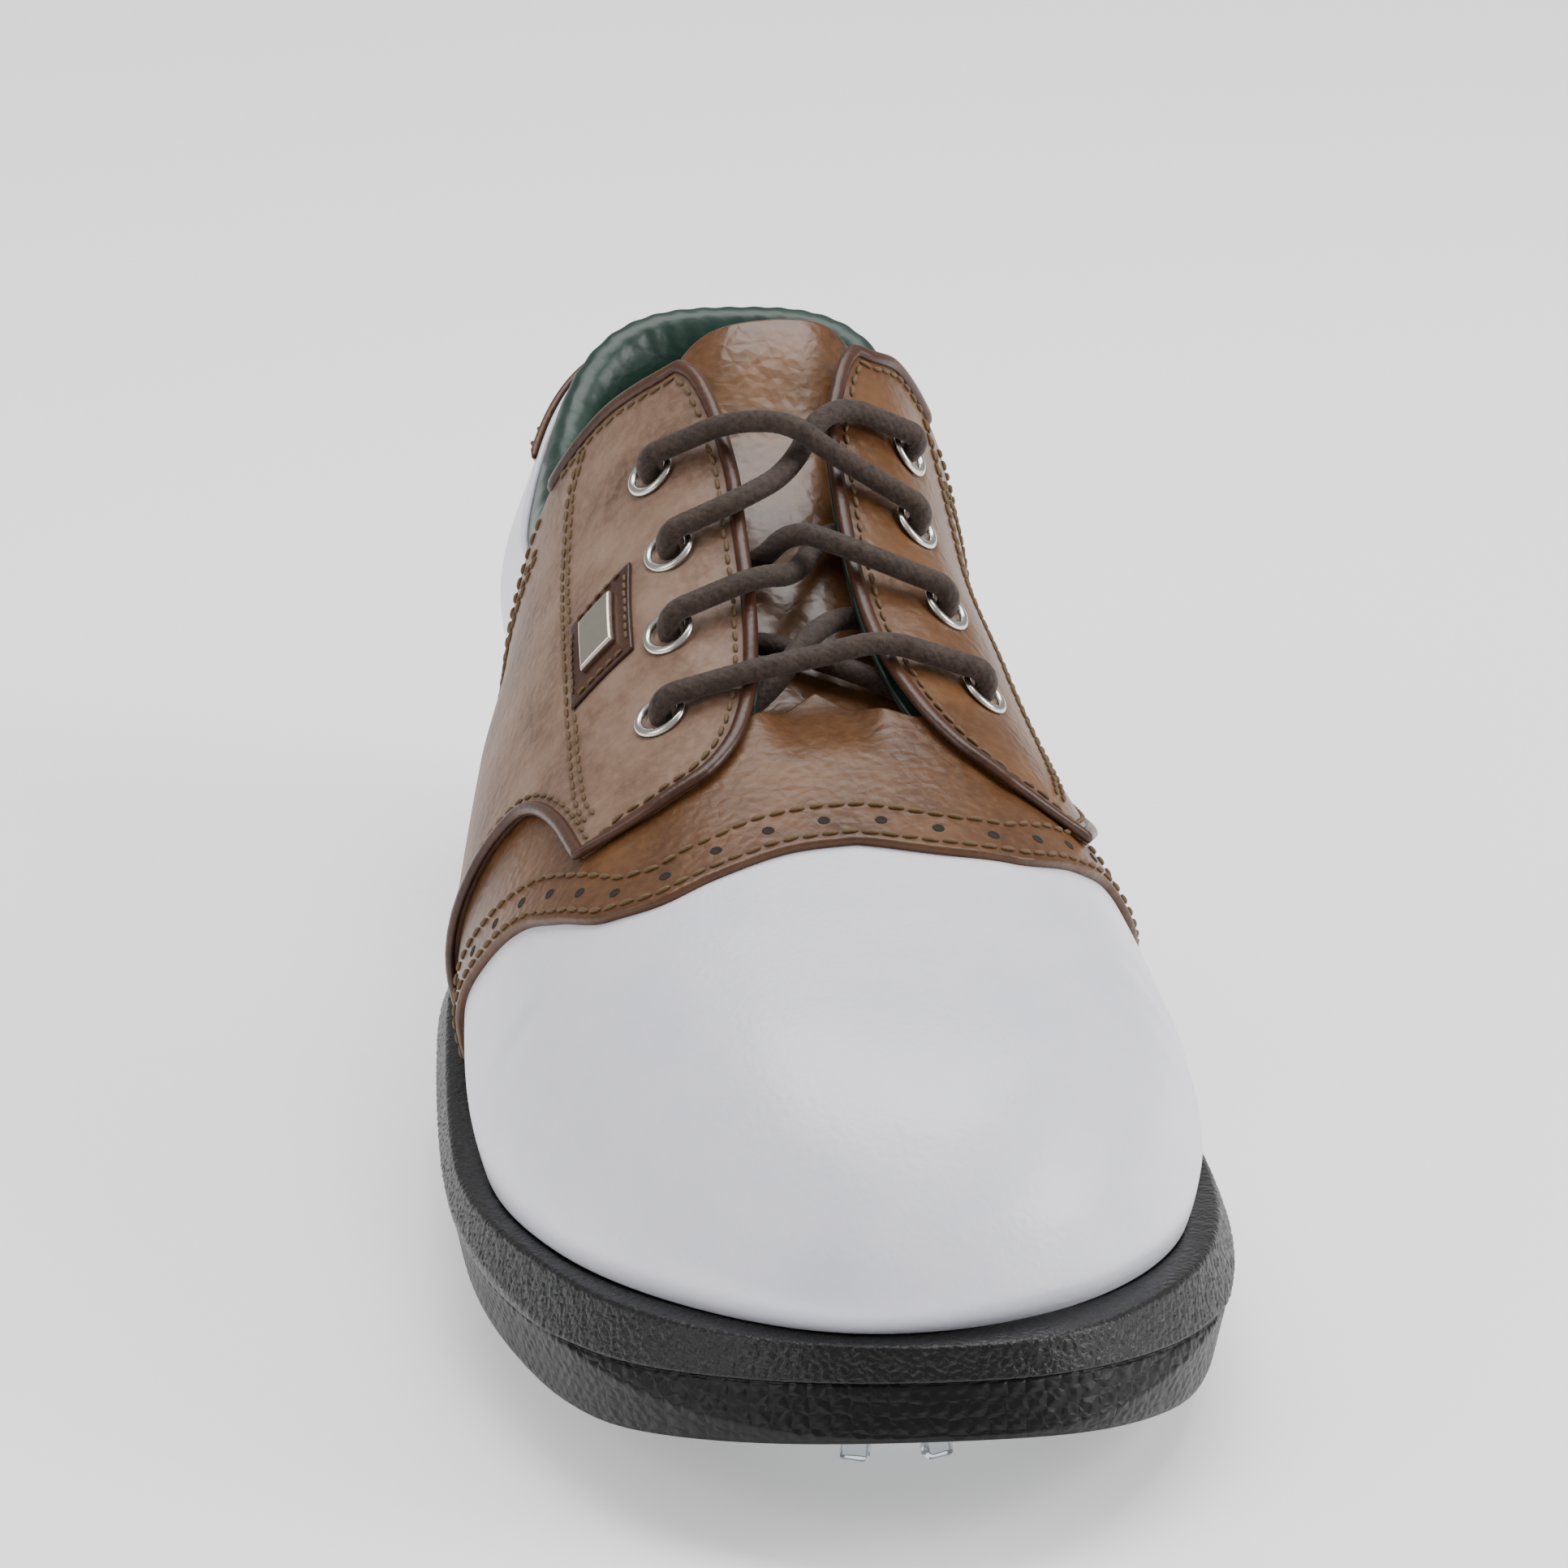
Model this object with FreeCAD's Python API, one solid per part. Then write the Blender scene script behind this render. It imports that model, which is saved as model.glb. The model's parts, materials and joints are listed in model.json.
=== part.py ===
import FreeCAD, Part
import math
import os

V = FreeCAD.Vector
os.makedirs("parts", exist_ok=True)

# Golf shoe for the right foot, in millimetres. Toe towards -Y, inner (medial) side +X, +Z up.
# Z = 0 is the ground under the cleat tips; X = Y = 0 is the middle of the shoe's footprint.

CLEAR = 0.3             # gap between a moving piece and its neighbours
CLEAT_DROP = 7.0        # ground to the tread of the sole
LACE_R = 1.7            # round lace
EYELET_HOLE = 2.8
EYELET_TUBE = 3.25
EYELET_RIM = 4.15
LEATHER = 1.2           # thickness of one leather layer
STEM_R = 4.95           # cleat stem in its threaded insert
INSERT_R = 5.0
HUB_R = 9.6
CLEAT_R = 16.6
DISH_R = 18.3
LEGS = 8
PLATE_PROUD = 0.8       # how far the plastic carriers stand out of the tread

# outline of the sole, heel to toe along the lateral side and back along the medial side
SOLE = [(3, 150), (-16, 147.5), (-31, 136), (-39, 118), (-40, 98), (-37, 75), (-37, 55), (-42.5, 38), (-50, 20),
        (-53.4, -5), (-54.4, -40), (-52.6, -74), (-44.5, -103), (-30.5, -129.5), (-12, -143.5), (8, -147.5),
        (26, -144.5), (42, -130), (53, -107), (57, -80), (55.5, -50), (50, -20), (43, 8), (39, 35), (38.5, 58),
        (42, 78), (45, 100), (42, 122), (31, 139), (17, 147.5)]
TREAD_Z = [(-160, 24), (-150, 19.5), (-135, 14.3), (-117, 9.4), (-100, 7.2), (-88, 7), (-60, 7), (0, 7),
           (22, 7.5), (38, 12.5), (52, 15), (66, 14), (80, 8), (93, 7), (132, 7), (150, 9), (160, 11)]
SPLIT_Z = [(-160, 28.5), (-150, 27), (-120, 20.5), (-90, 16.8), (0, 15.8), (30, 19.5), (52, 22.5), (80, 23),
           (150, 24), (160, 24)]
EDGE_Z = [(-150, 32), (-140, 31), (-100, 26.5), (-60, 23.5), (0, 24), (40, 28), (75, 33),
          (110, 35), (150, 36)]

# stations round the lower edge of the upper, heel centre to toe centre
LATERAL = [(3, 141), (-15, 138), (-29, 125), (-33, 103), (-32, 75), (-35, 45), (-42.5, 15),
           (-47.3, -15), (-49.2, -45), (-47.3, -76), (-36, -108), (-16, -132), (5, -139.5)]
MEDIAL = [(3, 141), (20, 138), (32, 125), (36, 103), (34, 75), (33, 45), (36, 15),
          (43, -15), (49.5, -45), (51.5, -80), (44, -110), (27, -131.5), (5, -139.5)]
SPINE_Y = [100, 100, 98, 92, 73, 46, 15, -14, -45, -75, -96, -104, -106]
SPINE_X = [(-106, 6), (-60, 5), (-22, 2), (0, 1), (39, 3), (100, 0)]
SPINE_Z = [(-145, 50), (-125, 57), (-106, 62.5), (-85, 67), (-60, 72.5), (-22, 86), (0, 97),
           (22, 108.5), (39, 119), (60, 131), (80, 137), (100, 138), (141, 127)]
# each rib from the edge (0) to the spine (6): share of the height, and share of the way in
RISE = [0, 0.2, 0.42, 0.66, 0.88, 0.98, 1.0]
IN_LATERAL = [
    (0, -0.08, -0.04, 0.10, 0.40, 0.72, 1), (0, -0.10, -0.05, 0.10, 0.40, 0.72, 1),
    (0, -0.14, 0.00, 0.17, 0.44, 0.73, 1), (0, -0.17, 0.03, 0.22, 0.48, 0.75, 1),
    (0, -0.19, -0.08, 0.15, 0.47, 0.75, 1), (0, -0.12, -0.08, 0.12, 0.45, 0.73, 1),
    (0, -0.06, 0.00, 0.20, 0.48, 0.73, 1), (0, -0.04, 0.04, 0.24, 0.51, 0.74, 1),
    (0, -0.03, 0.04, 0.20, 0.46, 0.72, 1), (0, -0.03, 0.02, 0.15, 0.40, 0.69, 1),
    (0, -0.04, 0.01, 0.12, 0.37, 0.66, 1), (0, -0.06, -0.02, 0.09, 0.33, 0.63, 1),
    (0, -0.06, -0.03, 0.08, 0.31, 0.62, 1)]
IN_MEDIAL = [
    (0, -0.08, -0.04, 0.10, 0.40, 0.72, 1), (0, -0.08, -0.03, 0.10, 0.40, 0.72, 1),
    (0, -0.10, 0.00, 0.14, 0.42, 0.73, 1), (0, -0.06, 0.08, 0.24, 0.48, 0.75, 1),
    (0, -0.06, 0.06, 0.20, 0.48, 0.75, 1), (0, -0.07, 0.00, 0.17, 0.45, 0.73, 1),
    (0, -0.05, 0.01, 0.17, 0.42, 0.70, 1), (0, -0.04, 0.03, 0.19, 0.43, 0.70, 1),
    (0, -0.03, 0.02, 0.16, 0.42, 0.70, 1), (0, -0.03, 0.01, 0.13, 0.38, 0.68, 1),
    (0, -0.04, 0.00, 0.10, 0.35, 0.66, 1), (0, -0.06, -0.02, 0.09, 0.33, 0.63, 1),
    (0, -0.06, -0.03, 0.08, 0.31, 0.62, 1)]

# top line of the shoe: y and height of the leather's upper edge round the ankle
TOPLINE = [(40, 108), (46, 99), (54, 87), (64, 77), (76, 71.5), (90, 70), (104, 72.5), (120, 79),
           (134, 87), (142, 90.5)]
# eyelets as (station, rib) on each facing, front to back
EYELETS = {-1: [(7.5, 4.3), (6.97, 4.45), (6.42, 4.5), (5.82, 4.25)],
           1: [(7.3, 4.05), (6.77, 4.2), (6.2, 4.23), (5.63, 4.05)]}
# rib reached by the edge of each facing, by station
FACING = {-1: [(5.3, 4.55), (5.55, 4.95), (5.85, 5.2), (6.2, 5.36), (6.8, 5.42), (7.4, 5.32),
               (7.75, 5.12), (8.0, 4.75), (8.12, 4.2)],
          1: [(5.3, 4.8), (5.55, 5.15), (5.85, 5.33), (6.3, 5.3), (6.85, 5.27), (7.3, 5.15),
              (7.6, 4.97), (7.85, 4.65), (8.0, 4.2)]}


def blend(points, x):
    """Value at x of a monotone cubic through (x, value) pairs."""
    if x <= points[0][0]:
        return points[0][1]
    if x >= points[-1][0]:
        return points[-1][1]
    i = max(j for j in range(len(points) - 1) if points[j][0] <= x)
    rate = [(b[1] - a[1]) / (b[0] - a[0]) for a, b in zip(points, points[1:])]

    def slope(j):
        if j == 0:
            return rate[0]
        if j == len(points) - 1:
            return rate[-1]
        a, b = rate[j - 1], rate[j]
        return 2 * a * b / (a + b) if a * b > 0 else 0.0

    h = points[i + 1][0] - points[i][0]
    t = (x - points[i][0]) / h
    p0, p1 = points[i][1], points[i + 1][1]
    m0, m1 = slope(i) * h, slope(i + 1) * h
    return ((2 * t ** 3 - 3 * t ** 2 + 1) * p0 + (t ** 3 - 2 * t ** 2 + t) * m0
            + (3 * t ** 2 - 2 * t ** 3) * p1 + (t ** 3 - t ** 2) * m1)


def catmull(p, t):
    return p[1] + 0.5 * t * (p[2] - p[0] + t * (2 * p[0] - 5 * p[1] + 4 * p[2] - p[3]
                             + t * (3 * (p[1] - p[2]) + p[3] - p[0])))


def around(values, k):
    """Smooth value at k on a loop of 24 stations: 0 heel, 12 toe, then back along the medial side."""
    i = int(math.floor(k))
    return catmull([values[(i + j) % 24] for j in (-1, 0, 1, 2)], k - i)


def along(values, r, even):
    """Smooth value at r on a rib of seven values; even: level at the spine."""
    i = min(int(r), 5)
    last = values[5] if even else 2 * values[6] - values[5]
    ext = [2 * values[0] - values[1]] + list(values) + [last]
    return catmull(ext[i:i + 4], r - i)


EDGE = LATERAL + MEDIAL[-2:0:-1]
IN_RIBS = IN_LATERAL + IN_MEDIAL[-2:0:-1]
SPINE = SPINE_Y + SPINE_Y[-2:0:-1]


def skin(k, r):
    """Point of the upper's outer skin at station k (0 to 24) and rib position r (0 to 6)."""
    ex = around([p[0] for p in EDGE], k)
    ey = around([p[1] for p in EDGE], k)
    sy = around(SPINE, k)
    a = along([around([row[j] for row in IN_RIBS], k) for j in range(7)], r, False)
    b = along(RISE, r, True)
    y = ey + (sy - ey) * a
    x = ex + (blend(SPINE_X, sy) - ex) * a
    return V(x, y, blend(EDGE_Z, ey) * (1 - b) + blend(SPINE_Z, y) * b)


def outward(k, r):
    """Unit normal of the skin, pointing out of the shoe."""
    if r > 5.97:
        y = around(SPINE, k)
        rise = (blend(SPINE_Z, y + 2) - blend(SPINE_Z, y - 2)) / 4
        return V(0, -rise, 1).normalize()
    h = 0.04
    du = skin(k + h, r) - skin(k - h, r)
    dv = skin(k, r + h if r < 5.95 else 5.99) - skin(k, max(r - h, 0))
    return du.cross(dv).normalize()


def on_skin(k, r, lift):
    return skin(k, r) + outward(k, r) * lift


def rib_at(k, z):
    """Rib position where station k reaches height z."""
    low, high = 0.0, 6.0
    for _ in range(26):
        mid = (low + high) / 2
        if skin(k, mid).z < z:
            low = mid
        else:
            high = mid
    return low


def top_rib(k, raise_by=0.0):
    """Rib position of the ankle's top line at station k."""
    r = 2.5
    for _ in range(8):
        r = rib_at(k, blend(TOPLINE, skin(k, r).y) + raise_by)
    return r


def fit(row):
    """Poles of a uniform cubic through a row of points."""
    start = (row[1] * 4 - row[0] * 3 - row[2]) * 0.5
    end = (row[-1] * 3 - row[-2] * 4 + row[-3]) * 0.5
    inner = [row[i] - (row[i - 1] - row[i] * 2 + row[i + 1]) * (1 / 6) for i in range(1, len(row) - 1)]
    return [row[0], row[0] + start * (1 / 3)] + inner + [row[-1] - end * (1 / 3), row[-1]]


def sheet(grid):
    """Smooth surface through a grid of points."""
    rows = [fit(row) for row in grid]
    columns = [fit([row[j] for row in rows]) for j in range(len(rows[0]))]
    poles = [[column[i] for column in columns] for i in range(len(columns[0]))]
    nu, nv = len(poles) - 3, len(poles[0]) - 3
    surface = Part.BSplineSurface()
    surface.buildFromPolesMultsKnots(
        poles, [4] + [1] * (nu - 1) + [4], [4] + [1] * (nv - 1) + [4],
        [float(i) for i in range(nu + 1)], [float(i) for i in range(nv + 1)], False, False, 3, 3)
    return surface


def closed(faces):
    shell = Part.Shell(faces)
    shell.sewShape()
    solid = Part.Solid(shell)
    if solid.Volume < 0:
        solid.reverse()
    return solid


def skin_faces(outer, inner, sides="abcd"):
    """The two skins of a sheet and the edges between them on the named sides."""
    a, b = sheet(outer), sheet(inner)
    nu, nv = len(outer) - 1.0, len(outer[0]) - 1.0
    picks = {"a": lambda s: s.uIso(0.0), "b": lambda s: s.uIso(nu),
             "c": lambda s: s.vIso(0.0), "d": lambda s: s.vIso(nv)}
    faces = [a.toShape(), b.toShape()]
    for side in sides:
        faces.append(Part.makeRuledSurface(picks[side](a).toShape(), picks[side](b).toShape()))
    return faces


def thick(outer, inner):
    """Solid between two point grids of the same layout."""
    return closed(skin_faces(outer, inner))


def toe_cap(back, inner, outer, nu=14, nv=12, top=6.0):
    """Layer over the whole toe, forward of station back(r), in one piece."""
    faces = []
    for side in (-1, 1):
        grids = []
        for lift in (outer, inner):
            grid = []
            for i in range(nu + 1):
                row = []
                for j in range(nv + 1):
                    r = top * j / nv
                    k = back(r) + (12 - back(r)) * i / nu
                    row.append(on_skin(k if side < 0 else 24 - k, r, lift))
                grid.append(row)
            grids.append(grid)
        faces += skin_faces(*grids, sides="ac")
    return closed(faces)


def panel(low, high, nu, nv, inner, outer, start=0.0, stop=1.0):
    """Leather panel: low(u) and high(u) give (station, rib) along its two long edges."""
    grids = []
    for lift in (outer, inner):
        grid = []
        for i in range(nu + 1):
            u = start + (stop - start) * i / nu
            (k0, r0), (k1, r1) = low(u), high(u)
            row = []
            for j in range(nv + 1):
                k = k0 + (k1 - k0) * j / nv
                r = r0 + (r1 - r0) * j / nv
                row.append(on_skin(k, r, lift(k, r) if callable(lift) else lift))
            grid.append(row)
        grids.append(grid)
    return thick(*grids)


def loop_edge(points, z=0.0):
    curve = Part.BSplineCurve()
    curve.interpolate(Points=[V(x, y, z) for x, y in points], PeriodicFlag=True)
    return curve.toShape()


def column(points, z0=-5.0, z1=60.0):
    """Upright prism over a smooth closed outline."""
    return Part.Face(Part.Wire([loop_edge(points, z0)])).extrude(V(0, 0, z1 - z0))


def polygon(points, z0=-5.0, z1=60.0):
    corners = [V(x, y, z0) for x, y in points]
    return Part.Face(Part.makePolygon(corners + corners[:1])).extrude(V(0, 0, z1 - z0))


def slab(low, high):
    """Everything between two heights that vary along the shoe."""
    ys = [-160 + 8 * i for i in range(41)]
    edges = []
    for height in (low, high):
        curve = Part.BSplineCurve()
        curve.interpolate([V(-80, y, height(y)) for y in ys])
        edges.append(curve.toShape())
    ends = [Part.makeLine(V(-80, y, low(y)), V(-80, y, high(y))) for y in (ys[0], ys[-1])]
    wire = Part.Wire([edges[0], ends[1], edges[1], ends[0]])
    return Part.Face(wire).extrude(V(160, 0, 0))


def tread(y):
    return blend(TREAD_Z, y)


def scaled(points, grow):
    """Outline grown outwards by the given distance."""
    out = []
    n = len(points)
    for i in range(n):
        ax, ay = points[i - 1]
        bx, by = points[(i + 1) % n]
        dx, dy = bx - ax, by - ay
        size = math.hypot(dx, dy)
        out.append((points[i][0] + grow * dy / size, points[i][1] - grow * dx / size))
    return out


def disc(x, y, r, z0, z1):
    return Part.makeCylinder(r, z1 - z0, V(x, y, z0))


def joined(shapes):
    body = shapes[0]
    for shape in shapes[1:]:
        body = body.fuse(shape)
    return body.removeSplitter()


def save(name, shape):
    solids = shape.Solids
    if len(solids) == 1:
        shape = solids[0]
    print(name, "solids", len(solids), "volume", round(shape.Volume), "valid", shape.isValid())
    shape.exportStep("parts/" + name + ".step")


# ---------------------------------------------------------------- sole
CLEATS = {"toe": (6, -100), "ball_medial": (22, -57), "ball_lateral": (-26, -52),
          "mid_medial": (17, 2), "mid_lateral": (-31, 10), "heel_medial": (20.5, 115),
          "heel_lateral": (-18, 117)}
DISH_Z = CLEAT_DROP + 0.9       # floor of the dish each cleat sits in
INSERT_TOP = 14.8
CLEAT_TOP = DISH_Z - CLEAR


def sole_column(grow=0.0):
    """Sole outline carried up: widest at mid height, drawn in to the tread and to the upper."""
    wires = []
    for z, flare in ((2, -3.4), (19, 0.0), (38, -7.2)):
        wires.append(Part.Wire([loop_edge(scaled(SOLE, flare + grow), z)]))
    return Part.makeLoft(wires, True, True)


def carrier(names, lobe, necks):
    shapes = [disc(*CLEATS[n], lobe, -5, 60) for n in names]
    shapes += [polygon(neck) for neck in necks]
    body = joined(shapes).common(slab(lambda y: tread(y) - PLATE_PROUD, lambda y: tread(y) + 1.9))
    for n in names:
        body = body.cut(disc(*CLEATS[n], DISH_R, -5, DISH_Z))
        body = body.cut(disc(*CLEATS[n], 8.2, -5, 60))
    return body


def lug(x, y, half, drop, turn):
    """Four-sided lug standing down from the tread."""
    wires = []
    for size, z in ((half, tread(y) + 1.0), (half * 0.3, tread(y) - drop)):
        corners = []
        for q in range(5):
            a = math.radians(turn + 90 * q)
            corners.append(V(x + size * math.cos(a), y + size * math.sin(a), z))
        wires.append(Part.makePolygon(corners))
    return Part.makeLoft(wires, True, True)


LUGS = [(-4.5, -71, 5, 3.2), (-4.5, -58, 5, 3.2), (-4.5, -45, 5, 3.2),
        (-25, -7, 4.6, 3.4), (-15, -3, 4.8, 3.4), (-8, -10, 4.8, 3.4), (-9, 1.5, 4.2, 3.0),
        (-14, 26, 5, 3.6), (-23, 32.5, 4.2, 3.2), (-6, 30.5, 4.6, 3.4), (2, 27, 4, 3.0),
        (-24, 92, 4.6, 3.6), (-14, 95, 4.6, 3.6), (-3, 101, 4.4, 3.6), (10, 90, 4.6, 3.6),
        (20, 86, 4.4, 3.4), (-20, 142.5, 4.2, 4.2), (-10, 146, 4.4, 4.4), (1, 147, 4.4, 4.4),
        (12, 146, 4.4, 4.4), (22, 142, 4.2, 4.2), (1, 133, 4.2, 3.6),
        (-45, -76, 4.2, 2.6), (46, -82, 4.2, 2.6), (38, -112, 4.2, 2.4), (-33, -108, 4.2, 2.4)]

tread_low = slab(tread, lambda y: blend(SPLIT_Z, y))
outsole = sole_column().common(tread_low)

front_carrier = carrier(["toe", "ball_medial", "ball_lateral"], 21.5,
                        [[(10, -82), (27, -90), (38, -66), (16, -72)],
                         [(1, -82), (-15, -92), (-40, -62), (-15, -70)]])
mid_carrier = carrier(["mid_medial", "mid_lateral"], 20.3, [[(-20, 6), (4, 3), (4, 12), (-20, 15)]])
heel_carrier = carrier(["heel_medial", "heel_lateral"], 19.9, [[(-6, 112), (8, 112), (8, 121), (-6, 121)]])

sole_body = sole_column(-0.3)
band = [(49, -45), (33, -35), (22, -32), (5, -34), (-5, -35.5), (-16, -32), (-28, -27.5), (-47, -21),
        (-60, -27), (-62, -5), (-52, -11), (-39, -14), (-28, -13), (-18, -11), (-10, -14),
        (1, -22), (14, -24.5), (33, -22), (60, -14), (62, -52)]
flex_band = polygon(band).common(slab(lambda y: tread(y) - 0.4, lambda y: tread(y) + 1.8))
flex_band = flex_band.common(sole_body)
for wedge in ([(34, -34), (70, -46), (70, -24)], [(-48, -17), (-70, -26), (-70, -9)]):
    flex_band = flex_band.cut(polygon(wedge))

plate = [(-60, 37), (-24, 37), (-5, 37), (9, 29), (24, 20), (36, 12), (36, 60), (28, 61), (14, 60),
         (3, 65), (-5, 76), (-24, 69), (-60, 78)]
shank_plate = polygon(plate).common(slab(lambda y: tread(y) - 0.4, lambda y: tread(y) + 2.0))
shank_plate = shank_plate.common(sole_body).cut(disc(*CLEATS["mid_medial"], 20.9, -5, 60))
inlay = [(-20, 50), (-12, 46), (3, 49), (5, 58), (-4, 63), (-17, 60)]
shank_inlay = polygon(inlay).common(slab(lambda y: tread(y) - 0.9, lambda y: tread(y) + 0.6))
shank_plate = shank_plate.cut(shank_inlay)

inserts = {}
for name, (x, y) in CLEATS.items():
    ring = disc(x, y, 8.2, DISH_Z, INSERT_TOP).cut(disc(x, y, INSERT_R, DISH_Z - 1, INSERT_TOP - 0.6))
    inserts[name] = ring

cleat_pits = [disc(x, y, DISH_R, -5, DISH_Z) for x, y in CLEATS.values()]
outsole = outsole.fuse([lug(x, y, half, drop, 45) for x, y, half, drop in LUGS])
outsole = outsole.cut([front_carrier, mid_carrier, heel_carrier, flex_band, shank_plate, shank_inlay]
                      + cleat_pits + [disc(x, y, 8.2, -5, INSERT_TOP) for x, y in CLEATS.values()])
save("outsole", outsole)
save("front_carrier", front_carrier)
save("mid_carrier", mid_carrier)
save("heel_carrier", heel_carrier)
save("flex_band", flex_band)
save("shank_plate", shank_plate)
save("shank_inlay", shank_inlay)

midsole = sole_column().common(
    slab(lambda y: blend(SPLIT_Z, y), lambda y: blend(EDGE_Z, y) - 0.5))
save("midsole", midsole)


def foot_layer(inset, low, high):
    body = column(scaled(EDGE, -inset), 0, 90)
    return body.common(slab(lambda y: blend(EDGE_Z, y) + low, lambda y: blend(EDGE_Z, y) + high))


save("insole_board", foot_layer(4.2, 0.2, 2.0))
save("footbed", foot_layer(4.6, 2.2, 6.5))


# ---------------------------------------------------------------- cleats
def leg(x, y, angle):
    """One clear leg: runs out from the hub and down to the ground."""
    profile = [(9.2, CLEAT_TOP), (13.2, CLEAT_TOP), (16.2, 4.0), (CLEAT_R, 0.6), (16.0, 0), (13.6, 0),
               (13.2, 1.2), (12.4, 4.0), (9.2, 5.0)]
    corners = [V(r, -1.9, z) for r, z in profile]
    body = Part.Face(Part.makePolygon(corners + corners[:1])).extrude(V(0, 3.8, 0))
    body.rotate(V(0, 0, 0), V(0, 0, 1), angle)
    body.translate(V(x, y, 0))
    return body


for name, (x, y) in CLEATS.items():
    hub = disc(x, y, HUB_R, 4.2, CLEAT_TOP).fuse(disc(x, y, STEM_R, CLEAT_TOP - 1, INSERT_TOP - 0.9))
    ribs = []
    for i in range(12):
        rib = Part.makeBox(5.2, 0.7, 0.9, V(2.8, -0.35, 3.8))
        rib.rotate(V(0, 0, 0), V(0, 0, 1), 30 * i + 15)
        rib.translate(V(x, y, 0))
        ribs.append(rib)
    hub = hub.fuse(ribs).fuse(disc(x, y, 2.0, 3.7, 4.4))
    holes = [disc(x - 6.2, y, 1.25, 3, 6.4), disc(x + 6.2, y, 1.25, 3, 6.4)]
    save("cleat_core_" + name, hub.cut(holes).removeSplitter())
    web = disc(x, y, 12.6, 6.3, CLEAT_TOP)
    legs = web.fuse([leg(x, y, 22.5 + 360 / LEGS * i) for i in range(LEGS)])
    legs = legs.cut([disc(x, y, HUB_R, -5, 60)])
    save("cleat_" + name, legs.removeSplitter())
    save("insert_" + name, inserts[name])


# ---------------------------------------------------------------- upper
SADDLE_FRONT = {-1: [(0, 7.45), (1, 7.6), (2, 7.85), (2.7, 8.1), (3.2, 8.4), (3.7, 8.7), (4.23, 8.8),
                     (4.73, 8.73), (5.5, 8.6), (6, 8.57)],
                1: [(0, 5.9), (0.5, 6.4), (0.85, 6.9), (1.17, 7.35), (1.6, 7.75), (2.2, 7.95), (3, 8.1),
                    (3.47, 8.27), (4.43, 8.57), (5.17, 8.62), (6, 8.57)]}
SADDLE_BACK = [(0, 5.0), (1, 5.3), (2, 6.05), (3, 6.5), (4.3, 7.0), (5.0, 7.7), (6, 7.95)]
THROAT = [(0, 5.4), (1, 6.2), (2, 6.9), (3.5, 7.6), (5.0, 8.15), (6, 8.2)]
LINING_THROAT = [(0, 7.5), (3.5, 7.6), (5.0, 8.15), (6, 8.2)]
SWOOP = {-1: [(6.85, 0), (6.95, 1.0), (7.05, 2.2), (7.2, 2.75), (7.63, 3.2), (8.12, 3.5)],
         1: [(5.3, 0), (5.45, 0.9), (5.75, 1.7), (6.3, 2.05), (7.0, 2.35), (7.5, 2.75), (8.0, 3.35)]}
REAR = {-1: (4.5, 4.8), 1: (3.7, 4.8)}      # stations of the quarter's rear edge, at the sole and the top
QUARTER_HIGH = {-1: [(4.8, 2.8), (5.03, 3.53), (5.27, 4.3)], 1: [(4.8, 3.2), (5.03, 3.9), (5.25, 4.5)]}


def station(k, side):
    return k if side < 0 else 24 - k


def step(x):
    x = max(0.0, min(1.0, x))
    return x * x * (3 - 2 * x)


def over_saddle(k, r):
    """How far the quarter is lifted where the saddle band runs under it."""
    k = min(k % 24, 24 - k % 24)
    return LEATHER * step((k - blend(SADDLE_BACK, r) + 0.85) / 0.8)


def quarter_inner(k, r):
    return 0.1 + over_saddle(k, r)


def quarter_outer(k, r):
    return 0.1 + LEATHER + over_saddle(k, r)


save("vamp", toe_cap(lambda r: blend(THROAT, r), -LEATHER, 0.0, nu=32))
save("vamp_lining", toe_cap(lambda r: blend(LINING_THROAT, r), -3.2, -2.3))
save("toe_puff", toe_cap(lambda r: 9.8, -2.15, -1.35))

grids = []
for lift in (LEATHER - 0.08, 0.22):
    grid = []
    for u in range(15):
        row = []
        for j in range(-18, 19):
            side = -1 if j < 0 else 1
            r = 6 - abs(j) / 3
            front, back = blend(SADDLE_FRONT[side], r), blend(SADDLE_BACK, r)
            row.append(on_skin(station(front + (back - front) * u / 14, side), r, lift))
        grid.append(row)
    grids.append(grid)
saddle_band = thick(*grids)


def quarter(side):
    """Side panel with the eyelets, from the swept front edge to the upright rear edge."""
    rear, rear_top = REAR[side]
    rise, end = SWOOP[side][0][0], SWOOP[side][-1][0]
    low_k = [rear + (rise - 0.05 - rear) * i / 9 for i in range(10)]
    low_k += [rise + 0.06 * i for i in range(8)]
    low_k += [rise + 0.42 + (end - rise - 0.42) * i / 6 for i in range(1, 7)]
    high = QUARTER_HIGH[side] + FACING[side]
    grids = []
    for lift in (quarter_outer, quarter_inner):
        grid = []
        for k0 in low_k:
            u = (k0 - rear) / (end - rear)
            k1 = rear_top + (high[-1][0] - rear_top) * u
            r0, r1 = blend(SWOOP[side], k0), blend(high, k1)
            row = []
            for j in range(17):
                k, r = k0 + (k1 - k0) * j / 16, r0 + (r1 - r0) * j / 16
                row.append(on_skin(station(k, side), r, lift(k, r)))
            grid.append(row)
        grids.append(grid)
    return thick(*grids)


def facing_lining(side):
    """Green lining leather under the eyelet edge; it shows as a thin line along the facing."""
    grids = []
    for lift in (-0.02, -0.9):
        grid = []
        for i in range(15):
            k = 5.32 + (7.72 - 5.32) * i / 14
            top = blend(FACING[side], k) + 0.05
            low = 3.75 + 0.75 * step((k - 7.2) / 0.5)
            grid.append([on_skin(station(k, side), low + (top - low) * j / 6, lift) for j in range(7)])
        grids.append(grid)
    return thick(*grids)


def eyelet_frame(side, n):
    """Centre on the skin, outward axis and lift of the leather at an eyelet."""
    k, r = EYELETS[side][n]
    return skin(station(k, side), r), outward(station(k, side), r), quarter_outer(k, r)


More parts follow.
